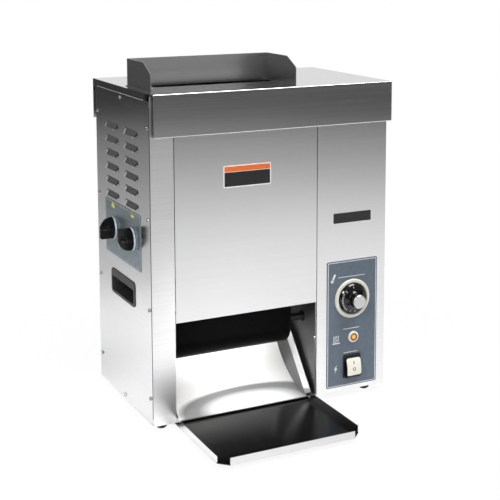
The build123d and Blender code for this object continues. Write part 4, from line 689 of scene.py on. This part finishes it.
# %% Print the plates
FILM_MOTTLE = 120.0
FILM_METAL = 0.8
PLATE_BLUE = finish("plate_blue", (0.098, 0.13, 0.168), 0.36, repeats=FILM_MOTTLE, tint=0.08)
PRINT_WHITE = finish("print_white", (0.75, 0.77, 0.78), 0.5)
PRINT_FAINT = finish("print_faint", (0.36, 0.4, 0.43), 0.5)
FILM_BLUE = finish("film_blue", (0.22, 0.27, 0.3), 0.28, FILM_METAL, repeats=FILM_MOTTLE,
                   tint=0.02)
LINE_WIDTH = 1.0
LINE_MARGIN = 1.8
CONTROL_CORNER = 2.0
SCALE_CORNER = 1.5


def line_frame(width, height, corner):
    """Thin line round a plate of this size, a margin inside its edge."""
    shape = rounded_face(width - 2 * LINE_MARGIN, height - 2 * LINE_MARGIN, corner)
    middle = shape.faces[:]
    bmesh.ops.inset_region(shape, faces=middle, thickness=LINE_WIDTH, use_boundary=True,
                           use_even_offset=True)
    bmesh.ops.delete(shape, geom=middle, context="FACES_ONLY")
    thicken(shape, PRINT_THICK)
    return shape


def facing_middle(low, high, axis):
    """Middle of the box's face that looks out, on its low side along the axis."""
    middle = (low + high) / 2
    middle[axis] = low[axis]
    return middle


dress(PLATE_BLUE, "control_plate")
dress(FILM_BLUE, "scale_plate")
low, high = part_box("control_plate")
size = (high - low) / MM
settle(line_frame(size.x, size.z, CONTROL_CORNER), "control_plate_line", FRONTWARDS,
       facing_middle(low, high, BACK), PRINT_WHITE)
print("control plate, mm:", [round(v, 1) for v in size])
low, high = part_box("scale_plate")
size = (high - low) / MM
settle(line_frame(size.y, size.z, SCALE_CORNER), "scale_plate_line", LEFTWARDS,
       facing_middle(low, high, ACROSS), PRINT_FAINT)
print("scale plate, mm:", [round(v, 1) for v in size])

# %% [markdown]
# ## Signs on the control plate
#
# Beside each control stands a small white sign: a thermometer, rising heat and a lightning bolt.
# The words over the controls are left out, and a thin plain rule holds the place of each. Signs
# could be cut from a drawing. These are simple enough to be built from strokes, and every stroke
# is the same rounded slab between two points. The thermometer's bulb is a disc.

# %% Draw the strokes
PLATE_FACE = -0.8
STROKE_ROUNDING = 0.45
THERMOMETER = ((326.4, 197.4), (330.2, 206.0), 3.6)
BULB_MIDDLE = (325.4, 195.6)
BULB_RADIUS = 2.9
WAVES = 3
WAVE_FOOT = 328.4
WAVE_PITCH = 4.2
WAVE_SWING = 2.0
WAVE_RISE = 3.4
WAVE_WIDTH = 1.5
WAVE_BENDS = ((0.0, 88.2), (WAVE_SWING, 91.6), (0.0, 95.0))
HEAT_BAR = ((327.6, 85.6), (340.4, 85.6), 2.0)
RULE_WIDTH = 1.0
RULES = {"dial_rule": (338.0, 389.0, 201.0), "lamp_rule": (347.5, 379.0, 109.0),
         "switch_rule": (349.5, 375.5, 66.8)}


def on_plate(across, up):
    """Place on the control plate's face."""
    return at(across, PLATE_FACE, up)


def stroke(name, start, end, width, place=on_plate, turned=FRONTWARDS, material=PRINT_WHITE):
    """Straight printed stroke between two points, each across and up in cabinet millimetres."""
    run = Vector(end) - Vector(start)
    shape = rounded_slab(run.length + width, width, width * STROKE_ROUNDING, PRINT_THICK)
    tilt = Matrix.Rotation(math.atan2(run.y, run.x), 4, "Z")
    middle = (Vector(start) + Vector(end)) / 2
    settle(shape, name, turned @ tilt, place(middle.x, middle.y), material)


def disc(radius, thick):
    """Flat round, its back at zero."""
    shape = bmesh.new()
    bmesh.ops.create_circle(shape, cap_ends=True, segments=24, radius=radius)
    thicken(shape, thick)
    return shape


stroke("thermometer_stem", *THERMOMETER)
settle(disc(BULB_RADIUS, PRINT_THICK), "thermometer_bulb", FRONTWARDS, on_plate(*BULB_MIDDLE),
       PRINT_WHITE)
for wave in range(WAVES):
    foot = WAVE_FOOT + WAVE_PITCH * wave
    for bend, (shift, low) in enumerate(WAVE_BENDS):
        bend_end = (foot + WAVE_SWING - shift, low + WAVE_RISE)
        stroke(f"heat_wave_{wave}_{bend}", (foot + shift, low), bend_end, WAVE_WIDTH)
stroke("heat_bar", *HEAT_BAR)
for name, (left, right, up) in RULES.items():
    stroke(name, (left, up), (right, up), RULE_WIDTH)
print("strokes:", 1 + WAVES * len(WAVE_BENDS) + 1 + len(RULES))

# %% [markdown]
# ## Lightning bolt
#
# The bolt has six corners and no stroke in it, so it is one face through six points, thickened
# like the other prints.

# %% Cut the lightning bolt
BOLT_OUTLINE = ((2.2, 7.6), (-3.4, -0.8), (-0.3, -0.8), (-2.2, -7.6), (3.4, 1.2), (0.4, 1.2))
BOLT_MIDDLE = (333.2, 40.0)

bolt = bmesh.new()
bolt.faces.new([bolt.verts.new((x, y, 0.0)) for x, y in BOLT_OUTLINE])
thicken(bolt, PRINT_THICK)
settle(bolt, "lightning_bolt", FRONTWARDS, on_plate(*BOLT_MIDDLE), PRINT_WHITE)
print("bolt's corners:", len(BOLT_OUTLINE))

# %% [markdown]
# ## The dial's shoulder
#
# The dial's marks are printed on its sloping shoulder. They could be drawn on the cone itself. It
# is simpler to draw each one flat, lay it back by the shoulder's slope, move it out to its radius
# and turn it to its angle about the dial's axis. All marks ride on the dial and turn with it.

# %% A place on the dial
SHOULDER_OUTER = (24.25, -7.2)
SHOULDER_INNER = (17.1, -9.4)
SHOULDER_WIDTH = SHOULDER_OUTER[0] - SHOULDER_INNER[0]
SHOULDER_SLOPE = math.atan2(SHOULDER_OUTER[1] - SHOULDER_INNER[1], SHOULDER_WIDTH)
QUARTER_TURN = 90.0
dial_axis = middle_of("thermostat_knob")


def on_dial(shape, name, angle, radius):
    """Lays a flat shape on the dial's shoulder; its own up points out from the axis."""
    inward = (SHOULDER_OUTER[0] - radius) / SHOULDER_WIDTH
    depth = SHOULDER_OUTER[1] + inward * (SHOULDER_INNER[1] - SHOULDER_OUTER[1])
    laid = (Matrix.Rotation(math.radians(angle - QUARTER_TURN), 4, "Z")
            @ Matrix.Translation((0, radius, -depth)) @ Matrix.Rotation(-SHOULDER_SLOPE, 4, "X"))
    bmesh.ops.transform(shape, matrix=laid, verts=shape.verts)
    centre = Vector((dial_axis.x, FRONT_FACE, dial_axis.z))
    settle(shape, name, FRONTWARDS, centre, PRINT_WHITE, "thermostat_dial")


print("shoulder slopes, degrees:", round(math.degrees(SHOULDER_SLOPE), 1))

# %% [markdown]
# ## Figures and ticks on the dial
#
# Four plain figures tell how hot the platen gets, and twelve ticks stand on the left, between the
# second and the third. A figure starts as a text object, which already has the outline of a type.
# It becomes a mesh before it is placed, so that it can be thickened and laid on the shoulder like
# a tick.

# %% Mark the dial
FIGURE_HEIGHT = 4.0
FIGURE_RADIUS = 20.8
TYPE_SIZE = 1.4
WELD = 0.001
DIAL_FIGURES = ((94.0, "1"), (136.0, "2"), (250.0, "3"), (276.0, "4"))
TICKS = 12
TICK_START = 150.0
TICK_STEP = 7.2
TICK_RADIUS = 22.4
TICK_SIZE = (0.9, 2.4, 0.3)


def figure(text, height):
    """Figure as a flat mesh about its middle."""
    data = bpy.data.curves.new("figure", "FONT")
    data.body = text
    data.size = height * TYPE_SIZE
    data.align_x = "CENTER"
    data.align_y = "CENTER"
    data.resolution_u = 3
    written = linked("figure", data)
    bpy.context.view_layer.update()
    mesh = bpy.data.meshes.new_from_object(written)
    shape = bmesh.new()
    shape.from_mesh(mesh)
    bpy.data.objects.remove(written)
    bmesh.ops.remove_doubles(shape, verts=shape.verts, dist=WELD)
    thicken(shape, PRINT_THICK)
    return shape


for angle, text in DIAL_FIGURES:
    on_dial(figure(text, FIGURE_HEIGHT), f"dial_figure_{text}", angle, FIGURE_RADIUS)
for number in range(TICKS):
    on_dial(rounded_slab(*TICK_SIZE, PRINT_THICK), f"dial_tick_{number}",
            TICK_START + TICK_STEP * number, TICK_RADIUS)
print("dial marks:", len(DIAL_FIGURES) + TICKS)

# %% [markdown]
# ## Bands and lines on a curve
#
# A light band round the edge of each gap knob's skirt is a painted highlight, and a white line
# along the sloped crest of its blade points at the scale. The band is a thin rectangle spun about
# the knob's axis.
# A straight line would cut into the crest, so it is a short edge spun about the centre of the
# crest's own arc. It stops just short of the crest's top, which stays the machine's outermost
# point.

# %% Spin a band and a crest line
BAND_THICK = 0.1
CREST_START = (18.5, 4.0)
CREST_CENTRE = (-1.124, 4.616)
CREST_SWEEP = math.radians(76.0)
CREST_STEPS = 12
CREST_RADIUS = 19.634


def ring(inner, outer, low, high, steps=64):
    """Round band about its middle."""
    shape = bmesh.new()
    spots = ((inner, low), (outer, low), (outer, high), (inner, high))
    corners = [shape.verts.new((radius, 0.0, height)) for radius, height in spots]
    edges = [shape.edges.new((corners[spot - 1], corners[spot])) for spot in range(len(corners))]
    bmesh.ops.spin(shape, geom=corners + edges, cent=(0, 0, 0), axis=(0, 0, 1), angle=math.tau,
                   steps=steps, use_merge=True)
    return shape


def crest_line(pointer, width):
    """Line along the sloped crest, a hair proud of it; pointer is 1 up, -1 down."""
    shape = bmesh.new()
    ends = [shape.verts.new((side * width / 2, CREST_START[0] * pointer, CREST_START[1]))
            for side in (-1, 1)]
    centre = Vector((0.0, CREST_CENTRE[0] * pointer, CREST_CENTRE[1]))
    bmesh.ops.spin(shape, geom=ends + [shape.edges.new(ends)], cent=centre, axis=(1, 0, 0),
                   angle=CREST_SWEEP * pointer, steps=CREST_STEPS, use_merge=False)
    proud = 1.0 + BAND_THICK / CREST_RADIUS
    bmesh.ops.scale(shape, vec=(1.0, proud, proud), verts=raised_copy(shape),
                    space=Matrix.Translation(-centre))
    return shape


print("crest line sweeps, degrees:", round(math.degrees(CREST_SWEEP)))

# %% [markdown]
# ## Gap knobs
#
# The two knobs are the same but for their pointers: one blade slopes one way, the other the other
# way. So both get the same pieces, and a plus or a minus one says which way the pointer goes. Each
# piece rides on its own knob and turns with it.

# %% Fit the bands and pointers
KNOB_FACE = -1.2
KNOB_UP = 288.0
KNOB_RADIUS = 19.0
BAND_DEPTH = 0.3
BAND_LOW = 0.3
BAND_HIGH = 3.0
POINTER_WIDTH = 1.6
# The band's light colour is a painted highlight on the skirt's edge.
RIM_HIGHLIGHT = finish("rim_highlight", (0.62, 0.66, 0.74), 0.3)
GAP_KNOBS = {"crown_knob": (175.4, 1), "heel_knob": (85.0, -1)}

for knob, (back, pointer) in GAP_KNOBS.items():
    hub = at(0, back, KNOB_UP) + Vector((KNOB_FACE * MM, 0, 0))
    band = ring(KNOB_RADIUS - BAND_DEPTH, KNOB_RADIUS + BAND_THICK, BAND_LOW, BAND_HIGH)
    # The band carries the painted highlight round the skirt.
    settle(band, f"{knob}_band", LEFTWARDS, hub, RIM_HIGHLIGHT, knob)
    line = crest_line(pointer, POINTER_WIDTH)
    settle(line, f"{knob}_pointer", LEFTWARDS, hub, PRINT_WHITE, knob)
print("gap knobs:", len(GAP_KNOBS))

# %% [markdown]
# ## Marks on the rocker
#
# Two plain marks tell which way is on: a bar on the half that is pressed, and a ring on the other.
# The rocker's face is slightly rounded and stands tilted, so each mark is laid back by the tilt
# and by the curve's own slope at its height. Both ride on the rocker and tip with it.

# %% Mark the rocker
PRINT_BLACK = finish("print_black", (0.015, 0.015, 0.015), 0.5)
ROCKER_TILT = math.radians(10.0)
ROCKER_PIVOT = (1.0, 42.0)
FACE_REACH = 11.0
FACE_RADIUS = 52.5
MARK_SINK = 0.05
MARK_HEIGHT = 5.5
BAR_SIZE = (1.5, 6.0, 0.4)
RING_RADII = (1.9, 3.1)


def on_rocker(shape, name, height):
    """Lays a flat shape on the rocker's face, at a height from the face's middle."""
    curve = math.sqrt(FACE_RADIUS ** 2 - height ** 2)
    reach = FACE_REACH - FACE_RADIUS + curve - MARK_SINK
    back = height * math.sin(ROCKER_TILT) - reach * math.cos(ROCKER_TILT)
    up = height * math.cos(ROCKER_TILT) + reach * math.sin(ROCKER_TILT)
    centre = at(0.0, ROCKER_PIVOT[0] + back, ROCKER_PIVOT[1] + up)
    centre.x = middle_of("power_rocker").x
    lean = Matrix.Rotation(-ROCKER_TILT - math.asin(height / FACE_RADIUS), 4, "X")
    settle(shape, name, FRONTWARDS @ lean, centre, PRINT_BLACK, "power_rocker")


on_rocker(rounded_slab(*BAR_SIZE, PRINT_THICK), "rocker_on_mark", MARK_HEIGHT)
on_rocker(ring(*RING_RADII, 0.0, PRINT_THICK, steps=32), "rocker_off_mark", -MARK_HEIGHT)
print("rocker's tilt, degrees:", round(math.degrees(ROCKER_TILT)))

# %% [markdown]
# ## Scale of the gap knobs
#
# Two yellow signs show what each knob sets: a bun's domed crown, and its flat heel. The dome is a
# disc cut through its middle, the heel a slab. Faint marks stand round the knobs like the rays of
# a sun, each one a stroke along its own ray.

# %% Print the scale
SCALE_FACE = -0.8
PRINT_YELLOW = finish("print_yellow", (0.7, 0.68, 0.05), 0.5)
DOME_RADIUS = 7.0
DOME_CUT = -1.5
DOME_MIDDLE = (176.0, 323.6)
HEEL_SIZE = (14.0, 4.0, 1.5)
HEEL_MIDDLE = (80.7, 326.3)
RAY_ANGLES = range(40, 141, 20)
RAY_FROM = 23.0
RAY_TO = 26.5
RAY_WIDTH = 0.9


def on_scale(back, up):
    """Place on the scale plate's face."""
    return at(SCALE_FACE, back, up)


def seen_from_left(across, up):
    """Place on the scale plate for a drawing, where across grows towards the front."""
    return on_scale(-across, up)


dome = bmesh.new()
bmesh.ops.create_circle(dome, cap_ends=True, segments=32, radius=DOME_RADIUS)
bmesh.ops.bisect_plane(dome, geom=dome.verts[:] + dome.edges[:] + dome.faces[:],
                       plane_co=(0, DOME_CUT, 0), plane_no=(0, -1, 0), clear_outer=True)
thicken(dome, PRINT_THICK)
settle(dome, "crown_sign", LEFTWARDS, on_scale(*DOME_MIDDLE), PRINT_YELLOW)
settle(rounded_slab(*HEEL_SIZE, PRINT_THICK), "heel_sign", LEFTWARDS, on_scale(*HEEL_MIDDLE),
       PRINT_YELLOW)
for knob, (back, pointer) in GAP_KNOBS.items():
    hub = Vector((-back, KNOB_UP))
    for number, angle in enumerate(RAY_ANGLES):
        ray = Vector((math.cos(math.radians(angle)), math.sin(math.radians(angle))))
        stroke(f"{knob}_mark_{number}", hub + RAY_FROM * ray, hub + RAY_TO * ray, RAY_WIDTH,
               seen_from_left, LEFTWARDS, PRINT_FAINT)
print("marks round the knobs:", len(GAP_KNOBS) * len(RAY_ANGLES))

# %% [markdown]
# ## Bare plates
#
# A black plate on the control column and a sticker on the front panel are left without words. The
# sticker keeps its make-up: a white edge, an orange band across the top and a black field below.
# Print on a sticker has no height to speak of, yet two faces in one plane would flicker, so band
# and field are thin slabs that lie on the base.

# %% Fit the bare plates
BARE_BLACK = finish("bare_black", (0.012, 0.012, 0.012), 0.3, tint=0.3)
STICKER_WHITE = finish("sticker_white", (0.82, 0.82, 0.8), 0.45)
STICKER_ORANGE = finish("sticker_orange", (0.78, 0.15, 0.02), 0.45)
NAME_PLATE = (327.7, 400.3, 295.6, 312.6)
NAME_PLATE_CORNER = 0.8
NAME_PLATE_THICK = 0.8
STICKER = (124.3, 209.4, 375.4, 411.5)
STICKER_CORNER = 1.5
STICKER_THICK = 0.15
STICKER_EDGE = 1.8
STICKER_BAND = 8.5
STICKER_GAP = 0.8
INK_CORNER = 0.6
INK_THICK = 0.08


def on_front(edges, corner, thick, name, material, lift=0.0):
    """Plate on the front; its edges are left, right, low and high in cabinet millimetres."""
    left, right, low, high = edges
    middle = at((left + right) / 2, -lift, (low + high) / 2)
    shape = rounded_slab(right - left, high - low, corner, thick)
    settle(shape, name, FRONTWARDS, middle, material)


left, right, low, high = STICKER
ink_left, ink_right = left + STICKER_EDGE, right - STICKER_EDGE
ink_low, ink_high = low + STICKER_EDGE, high - STICKER_EDGE
band_low = ink_high - STICKER_BAND
band = (ink_left, ink_right, band_low, ink_high)
field = (ink_left, ink_right, ink_low, band_low - STICKER_GAP)
on_front(NAME_PLATE, NAME_PLATE_CORNER, NAME_PLATE_THICK, "bare_name_plate", BARE_BLACK)
on_front(STICKER, STICKER_CORNER, STICKER_THICK, "sticker_base", STICKER_WHITE)
on_front(band, INK_CORNER, INK_THICK, "sticker_band", STICKER_ORANGE, lift=STICKER_THICK)
on_front(field, INK_CORNER, INK_THICK, "sticker_field", BARE_BLACK, lift=STICKER_THICK)
print("sticker, mm:", round(right - left, 1), "by", round(high - low, 1))

# %% [markdown]
# ## Painted gap shade and edge highlights
#
# A black strip in the joint between the side panel and the front corner is painted shade of the
# narrow gap there. Where the sheet was cut or pressed, a thin bright slab is a painted highlight
# of
# its edge catching the light: along the side panel's top, and at both ends of every louvre's hood.
# A bevel on the sheet would catch the light too, but it would be too narrow to see.

# %% Paint the gap's shade and the edge highlights
# The joint's black strip is painted shade of the narrow gap.
GAP_SHADE_BLACK = finish("gap_shade_black", (0.015, 0.015, 0.015), 0.6, tint=0.3)
# The edge slabs' bright colour is a painted highlight.
EDGE_HIGHLIGHT = finish("edge_highlight", (0.62, 0.62, 0.62), 0.5)
EDGE_THICK = 0.12
GLINT_THICK = 0.1
GAP_SHADE_SIZE = (2.6, 500.0, 0.2)
GAP_SHADE_PLACE = at(0.0, 1.7, 262.0)
TOP_EDGE_SIZE = (224.0, 0.9, 0.2)
TOP_EDGE_PLACE = at(0.0, 139.0, 521.4)
LOUVRE_COLUMNS = (83.5, 175.5)
LOUVRE_ROWS = 6
LOUVRE_TOP = 457.0
LOUVRE_PITCH = 23.6
HOOD_RISE = 4.0
HOOD_RUN = 10.0
HOOD_SLOPE = math.atan2(HOOD_RISE, HOOD_RUN)
LEANING = LEFTWARDS @ Matrix.Rotation(-HOOD_SLOPE, 4, "X")
# Each end's size and rounding, the way it is turned, and its place from the louvre's own foot.
GLINTS = {"rear": ((3.4, 9.0, 1.0), LEANING, (-2.7, 22.5, 5.2)),
          "front": ((8.0, 1.4, 0.5), LEFTWARDS, (-4.0, -18.0, 0.8))}

# Painted shade in the joint between side panel and front corner.
settle(rounded_slab(*GAP_SHADE_SIZE, EDGE_THICK), "left_gap_shade", LEFTWARDS, GAP_SHADE_PLACE, GAP_SHADE_BLACK)
# A painted highlight along the side panel's top edge, then at each louvre's ends.
settle(rounded_slab(*TOP_EDGE_SIZE, EDGE_THICK), "side_panel_edge_highlight", LEFTWARDS, TOP_EDGE_PLACE,
       EDGE_HIGHLIGHT)
for column, back in enumerate(LOUVRE_COLUMNS):
    for row in range(LOUVRE_ROWS):
        up = LOUVRE_TOP - row * LOUVRE_PITCH
        for end, (size, turned, (out, along, above)) in GLINTS.items():
            settle(rounded_slab(*size, GLINT_THICK), f"louvre_{column}_{row}_{end}_edge", turned,
                   at(out, back + along, up + above), EDGE_HIGHLIGHT)
print("louvres with bright edges:", len(LOUVRE_COLUMNS) * LOUVRE_ROWS)

# %% [markdown]
# ## Wall screw
#
# Just inside the exit, one bright screw holds the chamber's wall. From any distance its head is a
# low cone with a flat top, so a short cone is enough.

# %% Drive the screw
SCREW_BRIGHT = finish("screw_bright", (0.8, 0.8, 0.8), 0.25, METAL)
SCREW_FOOT = 2.6
SCREW_TOP = 1.6
SCREW_DEPTH = 1.2
SCREW_PLACE = at(295.1, 7.0, 100.9)

screw = bmesh.new()
bmesh.ops.create_cone(screw, cap_ends=True, segments=24, radius1=SCREW_FOOT,
                      radius2=SCREW_TOP, depth=SCREW_DEPTH)
bmesh.ops.translate(screw, vec=(0, 0, SCREW_DEPTH / 2), verts=screw.verts)
settle(screw, "wall_screw", LEFTWARDS, SCREW_PLACE, SCREW_BRIGHT)
print("screw head, mm across:", 2 * SCREW_FOOT)
